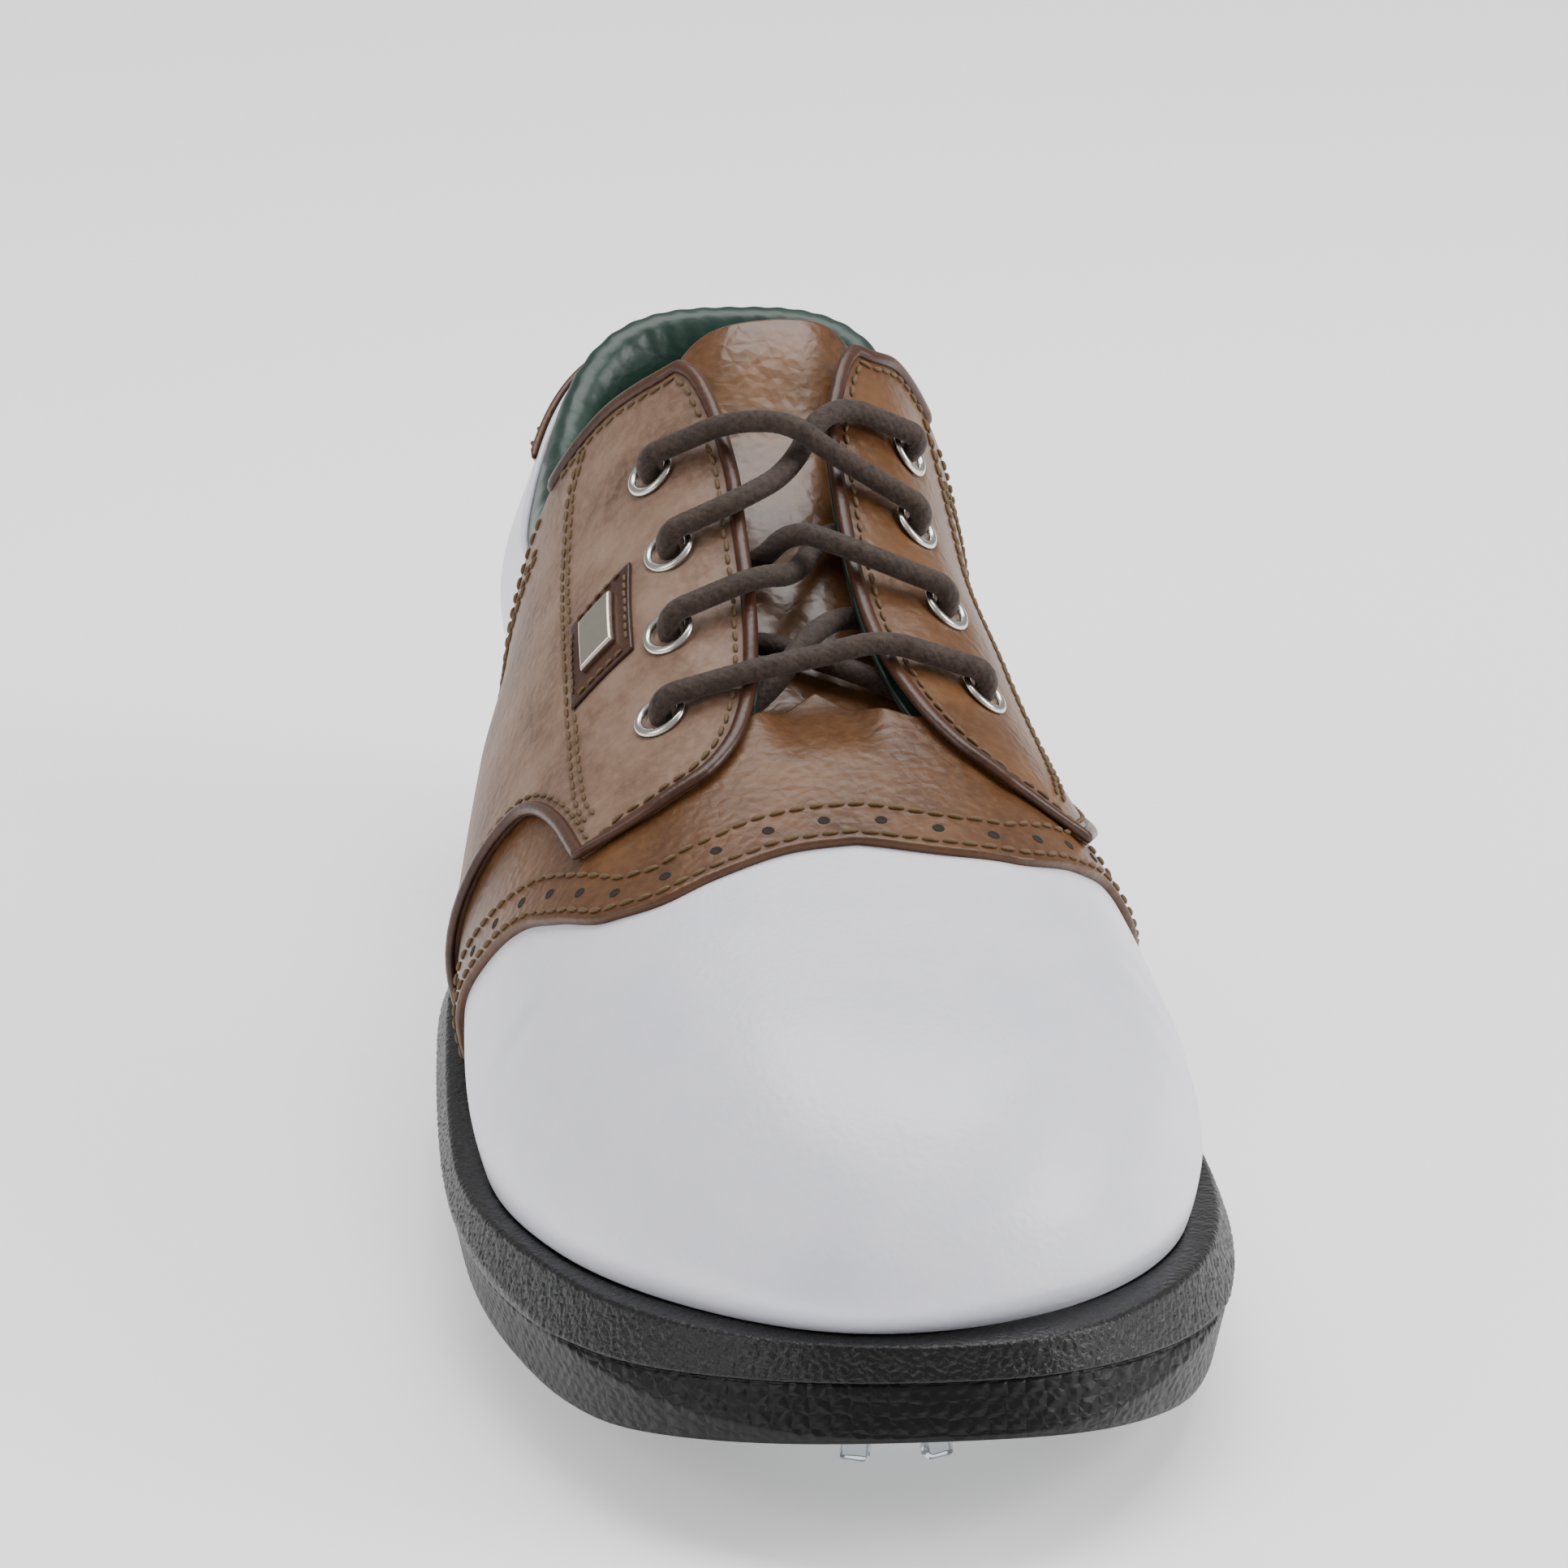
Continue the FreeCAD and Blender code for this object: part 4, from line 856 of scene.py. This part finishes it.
faces = list(map(tuple, grid_faces(len(kk), nq, wrap=True)))
faces += [tuple(range(nq))[::-1], tuple(range((len(kk) - 1) * nq, len(kk) * nq))]
collar = weld(make("collar_padded", verts, faces, "green", slot="green_leather", replaces=["collar"]))

# ------------------------------------------------------------------ tongue
TONGUE_TOP, TONGUE_ROOT = 5.08, 8.3


def tongue_sheet(name, base, thick, mat, trim=0.0, **keep):
    i = rounded(100, 90)
    j = np.linspace(-1, 1, 91)
    j = np.sign(j) * (1 - (1 - np.abs(j)) ** 1.25)
    I, J = np.meshgrid(i, j, indexing="ij")
    k = TONGUE_TOP + trim * 0.03 + (TONGUE_ROOT - TONGUE_TOP) * I
    reach = blend([(5.0, 3.92), (5.3, 3.98), (5.9, 4.15), (7.0, 4.3), (8.3, 5.1)], k) + trim * 0.05
    w = np.abs(J)
    kk = k + (0.25 * w ** 10 - 0.14 * w ** 2) * (1 - I) ** 3
    r = 6 - (6 - reach) * w
    lift = base + 3.0 * step((5.7 - kk) / 0.6)
    lift = lift + 2.6 * step((kk - 7.35) / 0.3) * step((r - 5.35) / 0.4)
    lift = lift + 0.25 * np.sin(I * 17 + J * 2.2) * (1 - w ** 2) * step((0.9 - I) / 0.3)
    return sheet(name, np.where(J <= 0, kk, 24 - kk), r, lift, thick, mat, body="tongue", **keep)


tongue_sheet("tongue_face", -6.8, 1.0, "gloss_brown", slot="glossy_brown_leather", replaces=["tongue"], radius=0.5)
pad = tongue_sheet("tongue_pad", -8.0, 3.4, "lining", 1.0, slot="tongue_lining", replaces=["tongue_pad"], radius=1.6)


# ------------------------------------------------------------------ eyelets
def lathe(name, frames, profile, mat, n=40, **keep):
    """Ring turned from (radius, height) points about each frame's axis."""
    verts, faces = [], []
    m = len(profile)
    for c, axis in frames:
        x = unit(np.cross(axis, [0.3, 1, 0.2]))
        y = np.cross(axis, x)
        base = len(verts) * n * m
        a = 2 * np.pi * np.arange(n) / n
        ring_v = []
        for rad, h in profile:
            ring_v.append(c + (np.cos(a)[:, None] * x + np.sin(a)[:, None] * y) * rad + axis * h)
        verts.append(np.stack(ring_v, 1).reshape(-1, 3))
        for i in range(n):
            for j in range(m):
                a0, b0 = base + i * m + j, base + i * m + (j + 1) % m
                a1, b1 = base + ((i + 1) % n) * m + j, base + ((i + 1) % n) * m + (j + 1) % m
                faces.append((a0, b0, b1, a1))
    return make(name, np.concatenate(verts), faces, mat, **keep)


def eyelet_frame(side, n):
    k, r = EYELETS[side][n]
    kk = np.array(float(station(k, side)))
    return skin(kk, np.array(r)), outward(kk, np.array(r)), float(quarter_outer(np.array(k), np.array(r)))


for side, name in ((-1, "lateral"), (1, "medial")):
    frames = []
    for n in range(4):
        c, axis, lift = eyelet_frame(side, n)
        frames.append((c + axis * lift, axis))
    profile = [(2.8, -2.6), (2.8, -0.2), (2.88, 0.35), (3.1, 0.72), (3.5, 0.86), (3.95, 0.72), (4.22, 0.4),
               (4.28, 0.1), (3.9, 0.0), (3.3, -0.05), (3.25, -2.6)]
    o = lathe("eyelets_" + name, frames, profile, "nickel", slot="nickel", replaces=["eyelets_" + name])


# ------------------------------------------------------------------ lace
LACE_R = 1.7
L, M = -1, 1


def above(side, n, rise=1.0):
    c, axis, lift = eyelet_frame(side, n)
    return c + axis * (lift + 0.9 + LACE_R + rise)


def below(side, n):
    c, axis, lift = eyelet_frame(side, n)
    return c - axis * (1.6 + LACE_R)


def spot(k, r, height):
    return on_skin(np.array(float(k)), np.array(float(r)), float(height))


def crest(k, height):
    return spot(k, 6.0, height)


def turn_point(side, n, forward, height):
    k = EYELETS[side][n][0] + forward
    return spot(station(k, side), float(blend(FACING[side], np.array(k))) + 0.12, height)


def tail(side):
    k = EYELETS[side][3][0]
    return [spot(station(q, side), r, h)
            for q, r, h in ((k - 0.05, 3.62, -5.2), (k - 0.3, 2.75, -5.8), (k - 0.5, 1.75, -7.5))]


route = tail(L)[::-1] + [
    below(L, 3), above(L, 3), turn_point(L, 3, 0.05, 5.6), crest(5.98, 8.1),
    turn_point(M, 2, -0.1, 5.6), above(M, 2), below(M, 2), turn_point(M, 2, 0.12, -3.2),
    crest(6.72, -0.6), turn_point(L, 1, -0.1, 5.1), above(L, 1), below(L, 1),
    turn_point(L, 1, 0.05, -3.85), crest(7.12, -4.0), turn_point(M, 0, -0.05, -3.5),
    below(M, 0), above(M, 0, 1.3), turn_point(M, 0, 0.02, 5.8), crest(7.42, 4.8),
    turn_point(L, 0, -0.02, 5.1), above(L, 0), below(L, 0), turn_point(L, 0, -0.08, -3.2),
    crest(7.16, 1.2), turn_point(M, 1, 0.1, -3.2), below(M, 1), above(M, 1, 1.2),
    turn_point(M, 1, -0.05, 5.8), crest(6.55, 3.9), turn_point(L, 2, 0.15, -3.4),
    below(L, 2), above(L, 2), turn_point(L, 2, -0.08, 4.5), crest(6.12, 1.8),
    turn_point(M, 3, 0.12, 5.4), above(M, 3, 1.5), below(M, 3)] + tail(M)


def cord_line(points, gap=0.35):
    """Straight runs joined by tangent arcs, sampled evenly."""
    out, at = [], points[0]
    for a, b, c in zip(points, points[1:], points[2:]):
        u, w = unit(b - a), unit(c - b)
        turn = math.acos(max(-1, min(1, float(u @ w))))
        reach = 0.45 * min(np.linalg.norm(b - a), np.linalg.norm(c - b))
        rad = reach / math.tan(turn / 2)
        start, inward = b - u * reach, unit(w - u)
        centre = b + inward * (rad / math.cos(turn / 2))
        out += [at + (start - at) * t for t in np.linspace(0, 1, 8, endpoint=False)]
        e = (start - centre) / rad
        out += [centre + rad * (math.cos(t) * e + math.sin(t) * u)
                for t in np.linspace(0, turn, 12, endpoint=False)]
        at = b + w * reach
    out += [at + (points[-1] - at) * t for t in np.linspace(0, 1, 10)]
    p = np.array(out)
    s = np.concatenate([[0], np.cumsum(np.linalg.norm(np.diff(p, axis=0), axis=1))])
    q = np.linspace(0, s[-1], int(s[-1] / gap))
    return np.stack([np.interp(q, s, p[:, i]) for i in range(3)], -1), q


def carried_frames(p):
    """Tangent and a twist-free pair of normals along a curve."""
    t = unit(np.gradient(p, axis=0))
    x = np.zeros_like(t)
    x[0] = unit(np.cross(t[0], [0.1, 0.2, 1.0]))
    for i in range(1, len(t)):
        x[i] = unit(x[i - 1] - t[i] * (x[i - 1] @ t[i]))
    return t, x, np.cross(t, x)


def braid(name, points, radius):
    """Woven sleeve: many fine strands crossing over and under round a core."""
    p, s = cord_line(points)
    t, x, y = carried_frames(p)
    n, m = len(p), 32
    a = 2 * np.pi * np.arange(m) / m
    S, A = np.meshgrid(s, a, indexing="ij")
    pitch, strands = 12.0, 8
    right = strands * (A + 2 * np.pi * S / pitch)
    left = strands * (A - 2 * np.pi * S / pitch)
    over = np.sin((right + left) / 2) * np.sin((right - left) / 2)
    weave = np.where(over > 0, np.abs(np.sin(right / 2)) ** 0.7, np.abs(np.sin(left / 2)) ** 0.7)
    R = radius * (0.88 + 0.14 * weave)
    verts = p[:, None] + R[..., None] * (np.cos(A)[..., None] * x[:, None] + np.sin(A)[..., None] * y[:, None])
    faces = list(map(tuple, grid_faces(n, m, wrap=True)))
    faces += [tuple(range(m))[::-1], tuple(range((n - 1) * m, n * m))]
    return make(name, verts.reshape(-1, 3), faces, "lace", slot="lace", replaces=["lace"])


braid("lace_braided", route, LACE_R)


def aglet_ring(end, back):
    way = unit(end - back)
    return end, way


INNER, OUTER = LACE_R + 0.02, LACE_R + 0.15
profile = [(INNER, -6.9), (OUTER, -7.0), (OUTER, 8.0), (OUTER - 0.3, 8.8), (1.1, 9.0), (0.4, 9.0), (0.4, 0.1),
           (INNER, 0.1)]
lathe("aglets_plain", [aglet_ring(route[0], route[1]), aglet_ring(route[-1], route[-2])], profile, "aglet",
      n=28, slot="aglet", replaces=["aglets"])


# ------------------------------------------------------------------ plain metal-look badge on its patch
def on_quarter(half_k, half_r, low, high, name, mat, radius, **keep):
    k0, r0 = 6.62, 3.7
    u, v = rounded(18, 26), rounded(14, 22)
    U, V = np.meshgrid(u, v, indexing="ij")
    k, r = k0 - half_k + 2 * half_k * U, r0 - half_r + 2 * half_r * V
    return sheet(name, k, r, quarter_outer(k, r) + high, high - low, mat, radius=radius, **keep)


on_quarter(0.30, 0.34, 0.2, 0.8, "badge_patch_leather", "fold", 0.35, replaces=["badge_patch"])
on_quarter(0.17, 0.17, 0.85, 2.1, "badge_plain", "plate", 0.6, slot="nickel", replaces=["badge"])
kb, rb = 0.27, 0.30
corner = np.array([(-1, -1), (1, -1), (1, 1), (-1, 1), (-1, -1)], float)
seams = []
for a, b in zip(corner, corner[1:]):
    u = np.linspace(0.08, 0.92, 20)[:, None]
    q = a + (b - a) * u
    k, r = 6.62 + kb * q[:, 0], 3.7 + rb * q[:, 1]
    seams.append(Seam(k, r, quarter_outer(k, r) + 0.8))
stitches("badge_stitch", seams, gap=1.9, length=1.5, thick=0.26)

# ------------------------------------------------------------------ polished copies of the hard pieces
def polished(node, mat, width=0.25, angle=30, name=None, segments=2):
    """Copy of a CAD piece with its facets merged and its edges rounded."""
    import bmesh
    src = frame["nodes"][node]
    mesh = src.data.copy()
    bm = bmesh.new()
    bm.from_mesh(mesh)
    bmesh.ops.remove_doubles(bm, verts=bm.verts, dist=0.000002)
    bm.to_mesh(mesh)
    bm.free()
    o = bpy.data.objects.new(name or node + "_smooth", mesh)
    bpy.context.scene.collection.objects.link(o)
    mesh.materials.clear()
    mesh.materials.append(MAT[mat])
    if width:
        mod = o.modifiers.new("edges", "BEVEL")
        mod.width, mod.segments, mod.limit_method = width * MM, segments, "ANGLE"
        mod.angle_limit = math.radians(angle)
        mod.harden_normals = True
    for poly in mesh.polygons:
        poly.use_smooth = True
    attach(o, src["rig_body"])
    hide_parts(node)
    return o


CLEATS = ["toe", "ball_medial", "ball_lateral", "mid_medial", "mid_lateral", "heel_medial", "heel_lateral"]
polished("outsole", "tread", 0.3, name="outsole_tread")
for node in ("front_carrier", "mid_carrier", "heel_carrier"):
    polished(node, "grey", 0.35)
polished("flex_band", "grey", 0.3)
polished("shank_plate", "carbon", 0.25)
polished("shank_inlay", "inlay", 0.25)
for n in CLEATS:
    polished("cleat_core_" + n, "hub", 0.18)
    polished("cleat_" + n, "clear", 0.45, segments=3)
for node, mat in (("insole_board", "board"), ("toe_puff", "board"), ("heel_stiffener", "board")):
    frame["nodes"][node].data.materials.clear()
    frame["nodes"][node].data.materials.append(MAT[mat])
for n in CLEATS:
    frame["nodes"]["insert_" + n].data.materials.clear()
    frame["nodes"]["insert_" + n].data.materials.append(MAT["insert"])


# ------------------------------------------------------------------ sole walls
SOLE = [(3, 150), (-16, 147.5), (-31, 136), (-39, 118), (-40, 98), (-37, 75), (-37, 55), (-42.5, 38), (-50, 20),
        (-53.4, -5), (-54.4, -40), (-52.6, -74), (-44.5, -103), (-30.5, -129.5), (-12, -143.5), (8, -147.5),
        (26, -144.5), (42, -130), (53, -107), (57, -80), (55.5, -50), (50, -20), (43, 8), (39, 35), (38.5, 58),
        (42, 78), (45, 100), (42, 122), (31, 139), (17, 147.5)]
TREAD_Z = [(-160, 24), (-150, 19.5), (-135, 14.3), (-117, 9.4), (-100, 7.2), (-88, 7), (-60, 7), (0, 7),
           (22, 7.5), (38, 12.5), (52, 15), (66, 14), (80, 8), (93, 7), (132, 7), (150, 9), (160, 11)]
SPLIT_Z = [(-160, 28.5), (-150, 27), (-120, 20.5), (-90, 16.8), (0, 15.8), (30, 19.5), (52, 22.5), (80, 23),
           (150, 24), (160, 24)]


def closed_spline(points, count):
    """Smooth closed curve through points, by chord length, and its outward normals."""
    p = np.array(points, float)
    n = len(p)
    h = np.linalg.norm(np.roll(p, -1, 0) - p, axis=1)
    A, B = np.zeros((n, n)), np.zeros((n, 2))
    for i in range(n):
        a, b = h[i - 1], h[i]
        A[i, i - 1], A[i, i], A[i, (i + 1) % n] = a, 2 * (a + b), b
        B[i] = 6 * ((p[(i + 1) % n] - p[i]) / b - (p[i] - p[i - 1]) / a)
    m = np.linalg.solve(A, B)
    s = np.concatenate([[0], np.cumsum(h)])
    q = np.linspace(0, s[-1], count, endpoint=False)
    i = np.searchsorted(s, q, side="right") - 1
    t, hi, j = q - s[i], h[i], (i + 1) % n
    u = hi - t
    hi, t, u = hi[:, None], t[:, None], u[:, None]
    out = (m[i] * u ** 3 + m[j] * t ** 3) / (6 * hi) + (p[i] / hi - m[i] * hi / 6) * u + (p[j] / hi - m[j] * hi / 6) * t
    d = np.roll(out, -1, 0) - np.roll(out, 1, 0)
    d /= np.linalg.norm(d, axis=1)[:, None]
    return out, np.stack([d[:, 1], -d[:, 0]], -1)


def grown(grow):
    p = np.array(SOLE, float)
    d = np.roll(p, -1, 0) - np.roll(p, 1, 0)
    d /= np.linalg.norm(d, axis=1)[:, None]
    return p + grow * np.stack([d[:, 1], -d[:, 0]], -1)


WALL_N = 2000
LOOPS = [(z, closed_spline(grown(f), WALL_N)[0]) for z, f in ((2, -3.4), (19, 0.0), (38, -7.2))]
WALL_NORMAL = closed_spline(grown(0), WALL_N)[1]
if np.mean(np.sum(WALL_NORMAL * (LOOPS[1][1] - LOOPS[1][1].mean(0)), 1)) < 0:
    WALL_NORMAL = -WALL_NORMAL
step_xy = np.linalg.norm(np.diff(LOOPS[1][1], axis=0), axis=1)
WALL_S = np.concatenate([[0], np.cumsum(step_xy)])


def wall_xy(z):
    """Sole wall at heights z, one for each of the loop's samples."""
    (z0, a), (z1, b), (z2, c) = LOOPS
    t = ((z - z0) / (z1 - z0))[:, None]
    u = ((z - z1) / (z2 - z1))[:, None]
    return np.where((z < z1)[:, None], a + (b - a) * t, b + (c - b) * u)


def wall_row(height, out=0.0):
    """3-D row of points on the wall where z = height(y), moved outwards by out."""
    z = np.full(WALL_N, 19.0)
    for _ in range(5):
        z = height(wall_xy(z)[:, 1])
    xy = wall_xy(z)
    return np.column_stack([xy + WALL_NORMAL * np.reshape(out, (-1, 1)), z])


def wall_band(name, low, high, rows, relief, mat, inset_low, inset_high, slot, replaces=(), lift=0.0, lip=0.5):
    """Closed band round the sole; relief(s, u, height) stands out of the wall."""
    lo, hi = (lambda y: blend(low, y)) if isinstance(low, list) else low, high
    made = []
    for u in np.linspace(0, 1, rows):
        level = lambda y, u=u: lo(y) + (hi(y) - lo(y)) * u
        row = wall_row(level)
        tall = hi(row[:, 1]) - lo(row[:, 1])
        edge = np.minimum(u, 1 - u) * tall
        fall = lip - np.sqrt(np.maximum(lip ** 2 - np.maximum(lip - edge, 0) ** 2, 0))
        made.append(wall_row(level, lift + relief(WALL_S, u * tall, edge) - fall))
    made.append(wall_row(hi, -inset_high / 2))
    made.append(wall_row(hi, -inset_high))
    made.append(wall_row(lambda y: lo(y) + 0.3 * (hi(y) - lo(y)), -inset_high))
    made.append(wall_row(lo, -inset_low))
    verts = np.stack(made, 0)
    m = len(made)
    i, j = np.meshgrid(np.arange(m), np.arange(WALL_N), indexing="ij")
    f = np.stack([i * WALL_N + j, i * WALL_N + (j + 1) % WALL_N, ((i + 1) % m) * WALL_N + (j + 1) % WALL_N,
                  ((i + 1) % m) * WALL_N + j], -1).reshape(-1, 4)
    return weld(make(name, verts.reshape(-1, 3), f, mat, slot=slot, replaces=replaces))


def pebbles(s, z, edge):
    """Leathery relief of irregular low mounds."""
    a = np.sin(s * 3.4 + 1.7 * np.sin(z * 2.3 + s * 0.71)) * np.sin(z * 3.6 + 1.3 * np.sin(s * 1.43))
    b = np.sin(s * 4.7 + z * 1.9) * np.sin(z * 5.1 - s * 2.4)
    return (0.10 * a + 0.06 * b) * np.clip(edge / 0.8, 0, 1)


def fish_scales(s, z, edge):
    """Rows of small pointed scales, each overlapping the one below."""
    row = z / 1.35
    turn = np.floor(row)
    x = (s / 2.6 + 0.5 * (turn % 2)) % 1.0 - 0.5
    y = row - turn
    tip = np.clip(1 - (2 * np.abs(x)) ** 1.6 - 0.35 * (1 - y), 0, 1)
    return 0.22 * tip ** 0.6 * (1 - 0.55 * y) * np.clip(edge / 0.6, 0, 1)


wall_band("midsole_wall", SPLIT_Z, lambda y: blend(EDGE_Z, y) - 0.5, 22, pebbles, "sidewall", 4.0, 9.0,
          "black_foam", ["midsole"], lift=0.45, lip=0.5)
wall_band("outsole_wall", lambda y: blend(TREAD_Z, y) + 0.3, lambda y: blend(SPLIT_Z, y) - 0.04, 30, fish_scales,
          "tread", 3.0, 1.5, "black_rubber", lift=0.05, lip=0.3)


# ------------------------------------------------------------------ footbed
def foot_cushion(name, inset, low, high, mat, node):
    kk = np.linspace(0, 24, 360, endpoint=False)
    edge = skin(kk, np.zeros_like(kk))[:, :2]
    d = np.roll(edge, -1, 0) - np.roll(edge, 1, 0)
    d /= np.linalg.norm(d, axis=1)[:, None]
    n = np.stack([d[:, 1], -d[:, 0]], -1)
    if np.mean(np.sum(n * (edge - edge.mean(0)), 1)) < 0:
        n = -n
    edge = edge - n * inset
    y_mid = np.clip(edge[:, 1], -92, 98)
    order = np.argsort(edge[:180, 1])
    left = np.interp(y_mid, edge[:180, 1][order], edge[:180, 0][order])
    order = np.argsort(edge[180:, 1])
    right = np.interp(y_mid, edge[180:, 1][order], edge[180:, 0][order])
    mid = np.column_stack([(left + right) / 2, y_mid])
    rings = []
    for t, z, drop in [(0.5, low, 0), (0.97, low, 0), (1, low + 0.8, 0), (1, high - 1.7, 0), (0.99, high - 0.7, 0),
                       (0.965, high - 0.15, 0)] + [(q, high, 1) for q in np.linspace(0.93, 0.0, 26)]:
        xy = mid + (edge - mid) * t
        height = blend(EDGE_Z, xy[:, 1]) + z
        if drop:
            dish = 1.2 * (1 - t ** 2) * np.clip((xy[:, 1] + 20) / 90, 0, 1)
            height = height - dish + 0.10 * np.sin(xy[:, 0] * 0.9) * np.sin(xy[:, 1] * 0.55)
        rings.append(np.column_stack([xy, height]))
    verts = np.stack(rings, 0).reshape(-1, 3)
    m = len(rings)
    f = grid_faces(m, 360, wrap=True)
    o = weld(make(name, verts, list(map(tuple, f)), mat, slot="footbed", replaces=[node]), 0.00005)
    import bmesh
    bm = bmesh.new()
    bm.from_mesh(o.data)
    loose = [e for e in bm.edges if len(e.link_faces) == 1]
    bmesh.ops.holes_fill(bm, edges=loose, sides=0)
    bmesh.ops.recalc_face_normals(bm, faces=bm.faces)
    bm.to_mesh(o.data)
    bm.free()
    return o


foot_cushion("footbed_cushion", 4.6, 2.2, 6.5, "footbed", "footbed")


# ------------------------------------------------------------------ floor, light and camera
def plain(name, color, rough):
    m = bpy.data.materials.new(name)
    m.use_nodes = True
    b = m.node_tree.nodes["Principled BSDF"]
    b.inputs["Base Color"].default_value = (*color, 1)
    b.inputs["Roughness"].default_value = rough
    return m


bpy.ops.mesh.primitive_plane_add(size=6.0, location=(0, 0.8, 0))
floor = bpy.context.object
floor.name = "floor"
floor.data.materials.append(plain("floor", (0.95, 0.95, 0.96), 0.7))
floor.data.materials[0].node_tree.nodes["Principled BSDF"].inputs["Emission Color"].default_value = (1, 1, 1, 1)
floor.data.materials[0].node_tree.nodes["Principled BSDF"].inputs["Emission Strength"].default_value = 0.42

world = bpy.data.worlds.new("studio")
bpy.context.scene.world = world
world.use_nodes = True
world.node_tree.nodes["Background"].inputs["Color"].default_value = (1.0, 1.0, 1.0, 1)
world.node_tree.nodes["Background"].inputs["Strength"].default_value = 0.42


def area(name, at, target, size, power):
    lamp = bpy.data.lights.new(name, "AREA")
    lamp.shape, lamp.size, lamp.size_y, lamp.energy = "RECTANGLE", size[0], size[1], power
    o = bpy.data.objects.new(name, lamp)
    bpy.context.scene.collection.objects.link(o)
    o.location = at
    o.rotation_euler = (Vector(target) - Vector(at)).to_track_quat("-Z", "Y").to_euler()
    return o


area("softbox_top", (0.1, 0.25, 1.3), (0, 0, 0.05), (1.1, 0.8), 17)
area("softbox_left", (-1.1, -0.55, 0.75), (0, 0, 0.06), (0.8, 0.8), 6)
area("softbox_right", (1.2, -0.35, 0.7), (0, 0, 0.06), (0.6, 0.8), 13)

cam = bpy.data.cameras.new("camera")
cam.lens, cam.sensor_width = 150, 36
eye = bpy.data.objects.new("camera", cam)
bpy.context.scene.collection.objects.link(eye)
eye.location = (-0.079, -0.931, 0.406)
eye.rotation_euler = (Vector((0, 0.0, 0.058)) - eye.location).to_track_quat("-Z", "Y").to_euler()
bpy.context.scene.camera = eye
